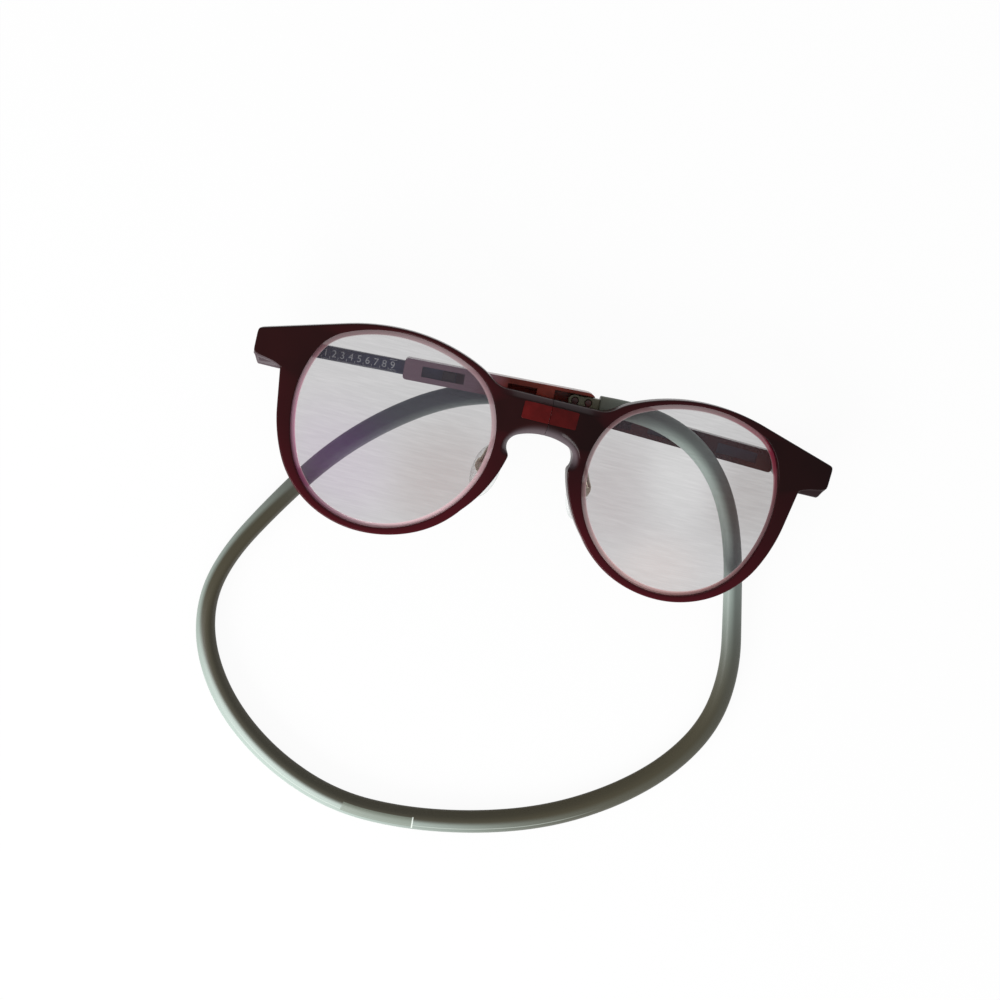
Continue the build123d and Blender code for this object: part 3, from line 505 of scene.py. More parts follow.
def band_material(name, settings, panel_ends, line_ends):
    """Soft grey-olive silicone with a moulding line, and a plain panel with a light end line."""
    material, tree, shader, _ = finish_material(
        name, settings.dark, settings.dark, 30.0, 0.36, 0.08, 2500.0, 0.005)
    shader.inputs["Specular IOR Level"].default_value = 0.2
    where = node(tree, "ShaderNodeUVMap", uv_map="surface")
    along = node(tree, "ShaderNodeSeparateXYZ", {"Vector": where.outputs[0]}).outputs[0]
    across = node(tree, "ShaderNodeAttribute", attribute_name="across").outputs["Fac"]
    # painted light: the tone attribute holds the band's lit sides painted pale and its painted cool
    # reflection
    tone = node(tree, "ShaderNodeAttribute", attribute_name="tone").outputs["Color"]

    def between(socket, low, high, soft):
        """1 between two values, with soft ends."""
        up = node(tree, "ShaderNodeMapRange", {
            "Value": socket, "From Min": low - soft, "From Max": low + soft})
        down = node(tree, "ShaderNodeMapRange", {
            "Value": socket, "From Min": high - soft, "From Max": high + soft,
            "To Min": 1.0, "To Max": 0.0})
        both = node(tree, "ShaderNodeMath", {0: up.outputs[0], 1: down.outputs[0]},
                    operation="MULTIPLY")
        return both.outputs[0]

    def area(ends, low, high, soft, strength):
        """Part of the band between two places along it and two across it."""
        both = node(tree, "ShaderNodeMath", {
            0: between(along, *ends, soft), 1: between(across, low, high, 0.03)},
            operation="MULTIPLY")
        return node(tree, "ShaderNodeMath", {0: both.outputs[0], 1: strength},
                    operation="MULTIPLY").outputs[0]

    line = area(line_ends, -0.52, -0.47, 0.006, 0.6)
    color = mix_color(tree, line, tone, (0.62, 0.68, 0.62, 1.0))
    plain = area(panel_ends, -0.62, 0.3, 0.00008, 0.75)
    color = mix_color(tree, plain, color, shade(settings.panel))
    end = (panel_ends[0] - 0.0003, panel_ends[0])
    color = mix_color(tree, area(end, -0.8, 0.35, 0.00008, 1.0), color, (0.7, 0.75, 0.7, 1.0))
    tree.links.new(color, shader.inputs["Base Color"])
    return material


# The front

def quarter_arcs(half_width, half_height, corner):
    """Centre and radius of the side, corner and top arcs of an oval's quarter, all tangent."""
    sine, rest = math.sin(OVAL_TURN), 1 - math.cos(OVAL_TURN)
    swing = corner * (math.cos(OVAL_TURN) - sine)
    across, rise = half_width - swing, half_height - swing
    flat = sine ** 2 - rest ** 2
    side_radius = (rise * sine - across * rest) / flat
    top_radius = (across * sine - rise * rest) / flat
    side_x = half_width - side_radius
    past = side_radius - corner
    corner_at = (side_x + math.cos(OVAL_TURN) * past, sine * past)
    return (((side_x, 0.0), side_radius), (corner_at, corner),
            ((0.0, half_height - top_radius), top_radius))


def oval_arc(oval, angle):
    """Centre and radius of the arc of an oval whose normal points at an angle in degrees."""
    knot, quarters = oval
    angle = angle % 360.0
    right = 1 if angle < 90 or angle >= 270 else -1
    up = 1 if angle < 180 else -1
    fold = angle % 180
    fold = min(fold, 180 - fold)
    turn = math.degrees(OVAL_TURN)
    part = 0 if fold < turn else 1 if fold < 90 - turn else 2
    centre, radius = quarter_arcs(*quarters[right, up])[part]
    return np.array((knot[0] + right * centre[0], knot[1] + up * centre[1])), radius


def oval_points(oval, angles, inset=0.0):
    """Points of an oval, drawn in by an inset, at the angles in degrees of its normals."""
    points = []
    for angle in np.atleast_1d(angles):
        centre, radius = oval_arc(oval, angle)
        way = np.array((math.cos(math.radians(angle)), math.sin(math.radians(angle))))
        points.append(centre + way * (radius - inset))
    return np.array(points)


def arc(centre, radius, start, end, n=200):
    """Points of a circular arc between two angles in degrees."""
    a = np.radians(np.linspace(start, end, n))
    return np.stack((centre[0] + radius * np.cos(a), centre[1] + radius * np.sin(a)), 1)


def arc_through(a, b, c, n=120):
    """Points of the circular arc from a through b to c."""
    m = np.array(((b - a) * 2, (c - b) * 2))
    centre = np.linalg.solve(m, np.array((b @ b - a @ a, c @ c - b @ b)))
    t = np.degrees(np.unwrap([math.atan2(*(p - centre)[::-1]) for p in (a, b, c)]))
    return arc(centre, np.linalg.norm(a - centre), t[0], t[2], n)


def front_outline(step=0.25):
    """Outer outline of a front half, anticlockwise: each point, the angle of the aperture's
    normal that it is joined to, its edge radius, and how far it drops behind the face.

    The rim is an oval of tangent arcs; the endpiece, the bridge's top and the split are straight;
    the arch and the nasal edge are arcs. Corners are softened by averaging neighbours."""
    def rim(start, end, n=300):
        """Stretch of the rim's oval."""
        return oval_points(RIM_OVAL, np.linspace(start, end, n))

    def line(*points):
        """Points of a broken line."""
        return np.array(points, dtype=float)

    # where the endpiece's top leaves the rim
    middle, radius = oval_arc(RIM_OVAL, 80)
    to_tip = np.array((TIP_OUT, TIP_TOP)) - middle
    touch = math.degrees(
        math.atan2(to_tip[1], to_tip[0]) + math.acos(radius / np.linalg.norm(to_tip)))
    # the round corner between the rim and the bridge's top
    middle, radius = oval_arc(RIM_OVAL, 135)
    crook_level = BRIDGE_TOP + BRIDGE_CROOK
    rise = crook_level - middle[1]
    crook_at = np.array((
        middle[0] - math.sqrt((radius + BRIDGE_CROOK) ** 2 - rise ** 2), crook_level))
    leave = math.degrees(math.atan2(*(crook_at - middle)[::-1]))
    # the nasal edge, from the arch's cusp down to the rim
    cusp, foot = np.array((6.858, 1.350)), oval_points(RIM_OVAL, 229.0, LENS_LAP)[0]
    chord = foot - cusp
    bow = (foot + cusp) / 2 + np.array((chord[1], -chord[0])) * 0.089
    nasal = arc_through(cusp, bow, foot)
    middle, radius = oval_arc(RIM_OVAL, 229)
    nasal = nasal[np.linalg.norm(nasal - middle, axis=1) > radius]
    land = math.degrees(math.atan2(*(nasal[-1] - middle)[::-1])) % 360

    # each stretch: points, aperture angles at its two ends, edge radius, corner softness
    stretches = (
        (line(oval_points(RIM_OVAL, -8)[0], (60.6, 8.7)), -8, 8, 0.45, 0.5),
        (line((60.6, 8.7), (63.2, 9.55), (TIP_OUT, TIP_FOOT)), 8, 16, 0.45, 1.0),
        (line((TIP_OUT, TIP_FOOT), (TIP_OUT, TIP_TOP)), 16, 34, 0.5, 1.0),
        (line((TIP_OUT, TIP_TOP), oval_points(RIM_OVAL, touch)[0]), 34, touch, 0.5, 0.6),
        (rim(touch, 90), touch, 90, 0.45, 0.3),
        (rim(90, leave), 90, leave, 0.45, 0.3),
        (arc(crook_at, BRIDGE_CROOK, leave - 180, -90), leave, 150, 0.4, 0.3),
        (line((crook_at[0], BRIDGE_TOP), (SPLIT_OUT, BRIDGE_TOP)), 150, 157, 0.3, 0.0),
        (line((SPLIT_OUT, BRIDGE_TOP), (SPLIT_OUT, 7.35)), 157, 166, 0.08, 0.0),
        (arc((0, -8.0), 15.35, 89.85, 67.1), 166, 170, 0.3, 0.0),
        (arc((4.828, 3.452), 2.922, 67.1, -46), 170, 177, 0.3, 0.2),
        (nasal, 177, land, 0.4, 0.35),
        (rim(land, 270), land, 270, 0.45, 0.3),
        (rim(270, 352), 270, 352, 0.45, 0.3),
    )
    points, angles, edges, softness, split = [], [], [], [], []
    for index, (shape, first, last, edge, soft) in enumerate(stretches):
        run = np.append(0, np.cumsum(np.linalg.norm(np.diff(shape, axis=0), axis=1)))
        count = max(3, int(round(run[-1] / step)))
        at = np.arange(count) / count
        where = at * run[-1]
        points.append(np.stack([np.interp(where, run, shape[:, k]) for k in (0, 1)], 1))
        share = np.interp(where, run, np.linspace(0, 1, len(run)))
        angles.append(first + (last - first) * share)
        edges.append(np.full(count, edge))
        softness.append(np.full(count, soft))
        split.append(np.full(count, 1.0 if index == 8 else 0.0))
    points, angles = np.vstack(points), np.concatenate(angles)
    edges, softness, split = (np.concatenate(v) for v in (edges, softness, split))
    for _ in range(14):
        pull = np.roll(points, 1, axis=0) + np.roll(points, -1, axis=0) - 2 * points
        points = points + 0.25 * softness[:, None] * pull
    for _ in range(6):
        edges = (np.roll(edges, 1) + 2 * edges + np.roll(edges, -1)) / 4
    edges = np.where(split > 0, 0.08, edges)
    # behind its face the endpiece's foot is deeper, with a round outer corner
    x, y = points[:, 0], points[:, 1]
    level = 7.7 + 2.0 * ease((x - 65.5) / 1.5)
    drop = np.clip(y - level, 0, None) * ease((x - 60.3) / 0.5) * (y < 10.9)
    return points, angles, edges, drop


def face_height(x, y):
    """Height of the front face, and how pale it is painted: level on the rim, raised at the bridge,
    with the bevel along the bridge's top, the saddle that sinks to the arch, and the recess. The
    paleness is a painted sheen on the saddle and the bevel."""
    near = ease((11.3 - x) / 4.4)
    raised = 0.6 * near * ease((y + 0.5) / 4.0)
    bevel = 2.0 * np.clip((y - 14.4) / 1.3, 0, 1) * ease((12.5 - x) / 5.0)
    outer = np.sqrt((x / 9.1) ** 2 + ((y - 3.45) / 6.75) ** 2)
    inner = np.sqrt((x / 7.75) ** 2 + ((y - 3.45) / 3.9) ** 2)
    sink = np.clip(1 - outer, 0, None)
    share = sink / np.maximum(sink + np.clip(inner - 1, 0, None), 1e-6)
    saddle = 2.6 * share ** 1.15 * ease((y - 0.95) / 1.8) * (y > 0.95)
    recess = 0.25 * ease((6.23 - x) / 0.12) * ease((y - 10.37) / 0.12) * ease((14.32 - y) / 0.12)
    # painted sheen: the saddle and the bridge's top bevel are painted paler, in place of the light
    # they reflect
    pale = 0.6 * ease(saddle / 1.4) + 0.2 * np.clip(bevel / 2.0, 0, 1)
    return raised - bevel - saddle - recess, pale


def front_shell(side):
    """Grid of a front half: rungs from the aperture to the outline, carried over the front,
    down the outer wall, along the back and up the aperture's wall."""
    outer, angle, edge, drop = front_outline()
    inner = oval_points(LENS_OVAL, angle, LENS_LAP)
    rung = outer - inner
    length = np.linalg.norm(rung, axis=1)
    way = rung / length[:, None]
    tangent = np.roll(outer, -1, axis=0) - np.roll(outer, 1, axis=0)
    tangent /= np.linalg.norm(tangent, axis=1)[:, None]
    square = np.clip(np.abs(way[:, 0] * tangent[:, 1] - way[:, 1] * tangent[:, 0]), 0.35, 1)
    ring = 0.28
    near = ring * np.array((0, 0.08, 0.25, 0.5, 1.0))
    far = np.array((1.0, 0.72, 0.47, 0.27, 0.12, 0.03, 0.0))
    steps = np.linspace(0, 1, 17)[1:-1]
    start, stop = np.full_like(length, near[-1]), length - edge / square
    distance = np.vstack((
        near[:, None] + 0 * length,
        start + steps[:, None] * (stop - start),
        length - far[:, None] * edge / square))
    from_edge = np.clip((length - distance) * square, 0, None)

    def rounding(gap, radius):
        """Drop of a quarter-round edge at a distance from the edge."""
        inside = np.clip(radius - gap, 0, None)
        return radius - np.sqrt(np.clip(radius ** 2 - inside ** 2, 0, None))

    def place(dist):
        """Plane points at a distance along each rung."""
        spot = inner[None] + way[None] * dist[..., None]
        return spot[..., 0], spot[..., 1]

    x, y = place(distance)
    crown = 0.12 * (1 - (2 * distance / length - 1) ** 2) * np.clip(3 / length, 0, 1)
    height, pale = face_height(x, y)
    front = height + crown - rounding(from_edge, edge) - rounding(distance, ring)
    back_rows = distance[::-1][::2] if len(distance) % 2 else distance[::-1]
    bx, by = place(back_rows)
    lowered = by - drop * np.clip(back_rows / length, 0, 1) ** 3
    depth = 3.6 + 1.6 * ease((11.0 - bx) / 3.5) * ease((by - 1.6) / 3.0)
    back_gap = np.clip((length - back_rows) * square, 0, None)
    back = -depth + rounding(back_gap, edge) + rounding(back_rows, ring)
    walls = []
    wx, wy = place(length[None])
    for share, down in (
            (0.12, 0.0), (0.2, 0.35), (0.32, 0.75), (0.42, 0.93), (0.55, 1.0), (0.8, 1.0)):
        level = front[-1] * (1 - share) + back[0] * share
        walls.append(np.stack((wx[0], wy[0] - drop * down, level), -1))
    inside = []
    ix, iy = place(np.zeros_like(length)[None])
    for share in (0.25, 0.5, 0.75):
        inside.append(np.stack((ix[0], iy[0], back[-1] * (1 - share) + front[0] * share), -1))
    grid = np.concatenate((
        np.stack((x, y, front), -1), np.array(walls), np.stack((bx, lowered, back), -1),
        np.array(inside)))
    lean_in = np.clip(1 - grid[..., 0] / 3.0, 0, 1)
    grid[..., 0] -= grid[..., 2] * math.tan(WRAP) * lean_in
    # painted light through the plastic: redder where the rim is narrow, and more so towards its
    # lower side
    thin = np.clip((7.0 - length) / 5.5, 0, 1) * (0.35 + 0.65 * ease((4.0 - outer[:, 1]) / 22.0))
    marks = {"thin": np.broadcast_to(thin, grid.shape[:2]), "pale": np.zeros(grid.shape[:2])}
    marks["pale"][:len(pale)] = pale
    skirt = slice(len(pale), len(pale) + len(walls))
    # painted light: the foot of the left endpiece is painted pale as lit from below, the right one
    # barely
    marks["pale"][skirt] = (0.55 if side == LEFT else 0.1) * ease(drop / 1.0)
    return in_half(side, grid[..., 0], grid[..., 1], grid[..., 2]), marks


# Settings

class FrontSettings(bpy.types.PropertyGroup):
    """Rims and windows."""

    deep: FloatVectorProperty(name="Rim colour", description="Burgundy where the plastic is thick",
                              subtype="COLOR", default=(0.0165, 0.0024, 0.0027))
    thin: FloatVectorProperty(name="Thin rim colour",
                              description="Burgundy where light comes through",
                              subtype="COLOR", default=(0.06, 0.003, 0.007))
    window: FloatVectorProperty(name="Window colour", description="Red over the magnets",
                                subtype="COLOR", default=(0.075, 0.004, 0.004))
    window_edge: FloatProperty(name="Window edge", description="Rounding of the windows",
                               unit="LENGTH", default=0.00012)


class LensSettings(bpy.types.PropertyGroup):
    """Lenses."""

    haze: FloatVectorProperty(name="Haze", description="Colour of the light that the lens scatters",
                              subtype="COLOR", default=(0.09, 0.082, 0.09))
    bevel: FloatProperty(name="Bevel width", description="Width of the bevel at the lens edge",
                         unit="LENGTH", default=0.0012)


class TempleSettings(bpy.types.PropertyGroup):
    """Temples, sleeves and hinges."""

    sleeve: FloatVectorProperty(name="Sleeve colour", description="Tinted plastic of the sleeves",
                                subtype="COLOR", default=(0.11, 0.015, 0.009))
    core: FloatVectorProperty(name="Core colour", description="Navy-grey bar inside the sleeve",
                              subtype="COLOR", default=(0.014, 0.024, 0.055))
    butt: FloatVectorProperty(name="Butt colour", description="Smoky end at the hinge",
                              subtype="COLOR", default=(0.012, 0.006, 0.006))
    edge: FloatProperty(name="Edge rounding", description="Rounding of the moulded edges",
                        unit="LENGTH", default=0.0003)
    marks: IntProperty(name="Scale marks", description="Marks of the plain length scale",
                       default=9, min=2, max=9)


class PadSettings(bpy.types.PropertyGroup):
    """Nose pads."""

    length: FloatProperty(name="Pad length", description="Length of the oval pad",
                          unit="LENGTH", default=0.013)
    width: FloatProperty(name="Pad width", description="Width of the oval pad",
                         unit="LENGTH", default=0.0076)
    thickness: FloatProperty(name="Pad thickness", description="Thickness of the pad's middle",
                             unit="LENGTH", default=0.0017)


class BandSettings(bpy.types.PropertyGroup):
    """Neckband."""

    dark: FloatVectorProperty(name="Dark tone", description="Olive-brown of the silicone",
                              subtype="COLOR", default=(0.058, 0.047, 0.02))
    cool: FloatVectorProperty(name="Cool tone", description="Slate tone where the band faces up",
                              subtype="COLOR", default=(0.095, 0.122, 0.155))
    light: FloatVectorProperty(name="Light tone", description="Pale grey-green of the lit side",
                               subtype="COLOR", default=(0.4, 0.48, 0.44))
    panel: FloatVectorProperty(name="Panel colour", description="Plain panel on the band",
                               subtype="COLOR", default=(0.2, 0.23, 0.19))
    height: FloatProperty(name="Band height", description="Thickness of the band",
                          unit="LENGTH", default=0.0042)


class StageSettings(bpy.types.PropertyGroup):
    """Floor, light and camera."""

    floor: FloatVectorProperty(name="Floor colour", description="Plain pale floor",
                               subtype="COLOR", default=(0.93, 0.93, 0.93))
    window_light: FloatProperty(name="Window light",
                                description="Power of the low soft light, in watts", default=5.2)
    sky: FloatProperty(name="Sky", description="Strength of the even light from all round",
                       default=0.62)
    lens: FloatProperty(name="Focal length", description="Camera focal length in millimetres",
                        default=53.19)


# Operators

class GLASSES_OT_fronts(bpy.types.Operator):
    """Builds the two front halves with their bridge, and the red windows"""

    bl_idname = "glasses.fronts"
    bl_label = "Fronts"

    def execute(self, context):
        settings = context.scene.glasses_front
        for side, name in SIDES:
            # painted shade: the right half gets a darker copy of the same rim plastic
            dark = 0.55 if side == RIGHT else 1.0
            deep = [v * dark for v in settings.deep]
            material = rim_material(f"{name} rim", deep, settings.thin)
            points, marks = front_shell(side)
            mesh = grid_mesh(f"{name}_front_shell", points, wrap_rows=True, wrap_cols=True,
                             flip=side == LEFT, values=marks)
            add_piece(f"{name}_front_shell", mesh, f"{name}_front", material,
                      (f"{name}_front_half",))
            # painted shade: the right window is a darker copy of the left one's red
            tone = [v * (1.0 if side == LEFT else 0.62) for v in settings.window]
            glassy = finish_material(
                f"{name} window", tone, [v * 1.5 for v in tone], 260.0, 0.12, 0.05, 2000.0, 0.01,
                Specular_IOR_Level=0.1)[0]
            outline = rounded_rectangle(0.03, 6.27, 10.33, 14.37, (0.1, 0.35, 0.35, 0.1))
            edge = settings.window_edge / MM
            rows = outline_rows(outline, slab_profile(0.1, 0.63, edge))
            rows[..., 0] -= rows[..., 2] * math.tan(WRAP) * np.clip(1 - rows[..., 0] / 3.0, 0, 1)
            pane = grid_mesh(f"{name}_window_pane",
                             in_half(side, rows[..., 0], rows[..., 1], rows[..., 2]),
                             caps=(True, True), flip=side == RIGHT)
            add_piece(f"{name}_window_pane", pane, f"{name}_front", glassy,
                      (f"{name}_magnet_window",))
        return {"FINISHED"}


class GLASSES_OT_lenses(bpy.types.Operator):
    """Builds the two dished lenses with a bevel near the rim"""

    bl_idname = "glasses.lenses"
    bl_label = "Lenses"

    def execute(self, context):
        settings = context.scene.glasses_lens
        bevel = settings.bevel / MM
        for side, name in SIDES:
            material = lens_material(f"{name} lens")
            angle = np.linspace(0, 360, 200, endpoint=False)
            insets = np.array((
                0.0, 0.2, 0.4, 0.55, 0.7, 0.85, 1.0, 1.15, 1.3, 1.4, 1.5, 1.6, 1.8, 2.2))
            rings = [oval_points(LENS_OVAL, angle, inset) for inset in insets]
            middle = np.array((LENS_OUT, 0.0))
            shares = np.linspace(0.95, 0.03, 20)
            rings += [middle + (rings[-1] - middle) * share for share in shares]
            rings = np.array(rings)[::-1]
            gap = np.concatenate((insets, np.full(len(shares), 9.0)))[::-1, None] - LENS_LAP
            r = np.linalg.norm(rings - middle, axis=-1)
            front = LENS_TOP + np.sqrt(LENS_FRONT_RADIUS ** 2 - r ** 2) - LENS_FRONT_RADIUS
            front = front - 0.3 * np.clip(1 - gap / bevel, 0, 1)
            back = LENS_UNDER + np.sqrt(LENS_BACK_RADIUS ** 2 - r ** 2) - LENS_BACK_RADIUS
            rows = np.concatenate((np.dstack((rings, front)), np.dstack((rings, back))[::-1]))
            edge = ease((bevel - np.clip(gap, 0, None)) / 0.25) * np.ones_like(r)
            # painted reflections round the bevel, brighter in some stretches
            ring = soft_blend(BEVEL_REFLECTION_PLAIN[side], [
                (((angle - at + 180) % 360 - 180) / reach, look)
                for at, reach, *look in BEVEL_REFLECTION_STRETCHES[side]])
            looks = soft_blend((LENS_DENSITY, *settings.haze), [
                (np.hypot(rings[..., 0] - across, rings[..., 1] - up) / reach, look)
                for across, up, reach, *look in LENS_PATCHES[side]])
            # haze colour inside the lens, painted bevel reflection at its edge
            haze_and_reflection = looks[..., 1:] * (1 - edge[..., None]) + ring * edge[..., None]
            values = {
                "bevel": np.concatenate((edge, 0 * edge)),
                "veil": np.concatenate((looks[..., 0], looks[::-1, :, 0])),
                "haze_and_reflection": np.concatenate((haze_and_reflection, looks[::-1, :, 1:])),
            }
            mesh = grid_mesh(f"{name}_clear_lens",
                             in_half(side, rows[..., 0], rows[..., 1], rows[..., 2]),
                             caps=(True, True), flip=side == LEFT, values=values)
            add_piece(f"{name}_clear_lens", mesh, f"{name}_front", material,
                      (f"{name}_lens",))
        return {"FINISHED"}


class GLASSES_OT_temples(bpy.types.Operator):
    """Rounds and finishes the temples: butts, cores, sleeves, lugs, pins and band ends"""

    bl_idname = "glasses.temples"
    bl_label = "Temples"

    def execute(self, context):
        settings = context.scene.glasses_temple
        edge = settings.edge
        core = finish_material("core plastic", settings.core, [v * 1.5 for v in settings.core],
                               120.0, 0.32, 0.1, 3000.0, 0.04)[0]
        butt = finish_material("butt plastic", settings.butt, [v * 1.6 for v in settings.butt],
                               200.0, 0.2, 0.08, 2500.0, 0.02)[0]
        lug = finish_material("lug plastic", (0.012, 0.01, 0.014), (0.03, 0.024, 0.03),
                              300.0, 0.3)[0]
        pin = finish_material("pin plastic", (0.03, 0.004, 0.004), (0.06, 0.008, 0.007),
                              400.0, 0.25)[0]
        tongue = finish_material("band end", (0.085, 0.078, 0.045), (0.13, 0.12, 0.075),
                                 150.0, 0.4)[0]
        for side, name in SIDES:
            # painted shade: the right sleeve is a darker copy of the left sleeve's plastic
            tone = settings.sleeve if side == LEFT else [v * 0.35 for v in settings.sleeve]
            tinted = sleeve_material(f"{name} sleeve plastic", tone, 0.95)
            arm = f"{name}_arm"
            for piece, cad, body, slot, material, rounding, segments in (
                ("sleeve_shell", "temple_sleeve", "band", "sleeve", tinted, edge, 2),
                ("butt_shell", "temple_butt", arm, "butt", butt, 0.00035, 3),
                ("core_bar", "temple_core", arm, "core", core, 0.00015, 2),
                ("lug", "detent_clicker", arm, "clicker", lug, 0.00015, 2),
                ("pins", "band_pins", "band", "pin", pin, 0.00012, 2),
                ("band_end", "band_tongue", "band", "tongue", tongue, 0.0002, 2),
            ):
                dressed_copy(f"{name}_{piece}", f"{name}_{cad}", body, material, rounding,
                             segments)
        return {"FINISHED"}


class GLASSES_OT_scale(bpy.types.Operator):
    """Lays a plain scale of marks and numbers on the left core"""

    bl_idname = "glasses.scale"
    bl_label = "Length scale"

    def execute(self, context):
        settings = context.scene.glasses_temple
        base, along, across, up = temple_axes(LEFT)
        ink = finish_material("scale ink", (0.42, 0.44, 0.47), (0.55, 0.57, 0.6), 500.0, 0.5)[0]
        height = 3.3 + 0.015
        step = 1.9

        def strip(x0, x1, y0, y1):
            """Corners of a thin rectangle on the core's face."""
            return (x0, y0), (x1, y0), (x1, y1), (x0, y1)

        ends = (11.6, 11.6 + step * settings.marks)
        parts = [strip(*ends, -1.72, -1.62), strip(*ends, -1.48, -1.43)]
        parts += [strip(11.6 + i * step, 11.72 + i * step, -1.3, -0.8)
                  for i in range(settings.marks)]
        last = 12.55 + (settings.marks - 1) * step
        parts += [strip(last - 0.85, last + 0.85, low, low + 0.1) for low in (-1.2, 1.0)]
        corners = np.array(parts).reshape(-1, 2)
        places = (base + along * corners[:, :1] + across * corners[:, 1:] + up * height) * MM
        quads = np.arange(len(corners)).reshape(-1, 4)
        mesh = bpy.data.meshes.new("left_scale_marks")
        mesh.from_pydata(places, [], quads[:, ::-1].tolist())
        shape = bmesh.new()
        shape.from_mesh(mesh)
        for number in range(settings.marks):
            text = bpy.data.curves.new("scale number", "FONT")
            text.body = str(number + 1)
            text.size = 2.3
            text.align_x = "CENTER"
            holder = bpy.data.objects.new("scale number", text)
            letter = bpy.data.meshes.new_from_object(holder)
            matrix = Matrix.Identity(4)
            spot = (base + along * (12.55 + number * step) + across * -0.9 + up * height) * MM
            for row in range(3):
                matrix[row][0] = along[row] * MM
                matrix[row][1] = across[row] * MM
                matrix[row][2] = up[row] * MM
                matrix[row][3] = spot[row]
            letter.transform(matrix)
            shape.from_mesh(letter)
            bpy.data.objects.remove(holder)
            bpy.data.meshes.remove(letter)
        bmesh.ops.recalc_face_normals(shape, faces=shape.faces)
        for face in shape.faces:
            if face.normal.z < 0:
                face.normal_flip()
        shape.to_mesh(mesh)
        shape.free()
        piece = add_piece("left_scale_marks", mesh, "left_arm", ink)
        solid = piece.modifiers.new("ink thickness", "SOLIDIFY")
        solid.thickness = 0.00002
        return {"FINISHED"}


class GLASSES_OT_hinges(bpy.types.Operator):
    """Rounds and finishes the hinge leaves, screws and magnets"""

    bl_idname = "glasses.hinges"
    bl_label = "Hinges and magnets"

    def execute(self, context):
        steel = finish_material("hinge steel", (0.4, 0.39, 0.38), (0.62, 0.6, 0.58), 400.0, 0.26,
                                0.12, 5000.0, 0.05, Metallic=1.0)[0]
        nickel = finish_material("magnet nickel", (0.45, 0.44, 0.43), (0.6, 0.6, 0.6), 500.0, 0.2,
                                 Metallic=1.0)[0]
        for side, name in SIDES:
            for piece, body, slot, material, edge in (
                ("front_hinge_leaf", "front", "hinge_steel", steel, 0.00008),
                ("temple_hinge_leaf", "arm", "hinge_steel", steel, 0.00008),
                ("hinge_screw", "front", "hinge_steel", steel, 0.0001),
                ("magnet", "front", "magnet", nickel, 0.00015),
            ):
                dressed_copy(f"{name}_{piece}_finished", f"{name}_{piece}", f"{name}_{body}",
                             material, edge)
        return {"FINISHED"}


class GLASSES_OT_pads(bpy.types.Operator):
    """Builds the soft clear nose pads and finishes their boxes and arms"""

    bl_idname = "glasses.pads"
    bl_label = "Nose pads"

    def execute(self, context):
        settings = context.scene.glasses_pad
        bronze = finish_material("pad bronze", (0.42, 0.36, 0.27), (0.8, 0.75, 0.63), 700.0, 0.22,
                                 0.12, 5000.0, 0.05, Metallic=1.0)[0]
        clear, tree, shader, _ = finish_material(
            "pad silicone", (0.5, 0.57, 0.55), (0.66, 0.73, 0.71), 220.0, 0.12, 0.05, 2500.0, 0.02,
            Alpha=0.2)
        thick = node(tree, "ShaderNodeAttribute", attribute_name="rim")
        alpha = node(tree, "ShaderNodeMapRange", {
            "Value": thick.outputs["Fac"], "To Min": 0.07, "To Max": 0.28})
        tree.links.new(alpha.outputs[0], shader.inputs["Alpha"])
        half_length, half_width = settings.length / MM / 2, settings.width / MM / 2
        thickness = settings.thickness / MM
        angle = np.linspace(0, 2 * math.pi, 72, endpoint=False)
        for side, name in SIDES:
            middle, long_way, width_way, to_nose = pad_axes(side)
            rows = []
            for radius, height in (
                    (0.55, -0.8), (0.78, -0.78), (0.85, -0.7), (0.85, -0.2), (0.95, 0.0)):
                rows.append((radius * np.cos(angle), radius * np.sin(angle), height + 0 * angle))
            share = np.concatenate((np.linspace(0.35, 0.9, 7), (0.95, 0.98, 0.995)))
            lift = thickness * 0.5 * (1 - (1 - share ** 6) ** (1 / 3))
            x = half_length * np.cos(angle) - 1.4
            y = half_width * np.sin(angle) * (1 + 0.08 * np.cos(angle))
            for s, h in zip(share, lift):
                rows.append((x * s + 1.4 * s - 1.4, y * s, h + 0 * angle))
            share = np.concatenate(((1.0, 0.99, 0.96), np.linspace(0.9, 0.1, 9)))
            dome = thickness * (0.5 + 0.5 * (1 - share ** 3.2) ** 0.5)
            for s, h in zip(share, dome):
                rows.append(((x + 1.4) * s - 1.4, y * s, h + 0 * angle))
            grid = np.array(rows).transpose(0, 2, 1)
            back = 0.7 + 0.35
            points = (middle + long_way * grid[..., :1] + width_way * grid[..., 1:2]
                      + to_nose * (grid[..., 2:] + back)) * MM
            spread = np.hypot((grid[..., 0] + 1.4) / half_length, grid[..., 1] / half_width)
            mesh = grid_mesh(f"{name}_silicone_pad", points, caps=(True, True), flip=True,
                             values={"rim": ease((spread - 0.78) / 0.2)})
            add_piece(f"{name}_silicone_pad", mesh, f"{name}_pad", clear,
                      (f"{name}_nose_pad",))
            for piece, edge in (("pad_box", 0.00012), ("pad_arm", 0.0)):
                dressed_copy(f"{name}_{piece}_metal", f"{name}_{piece}", f"{name}_front",
                             bronze, edge)
        return {"FINISHED"}


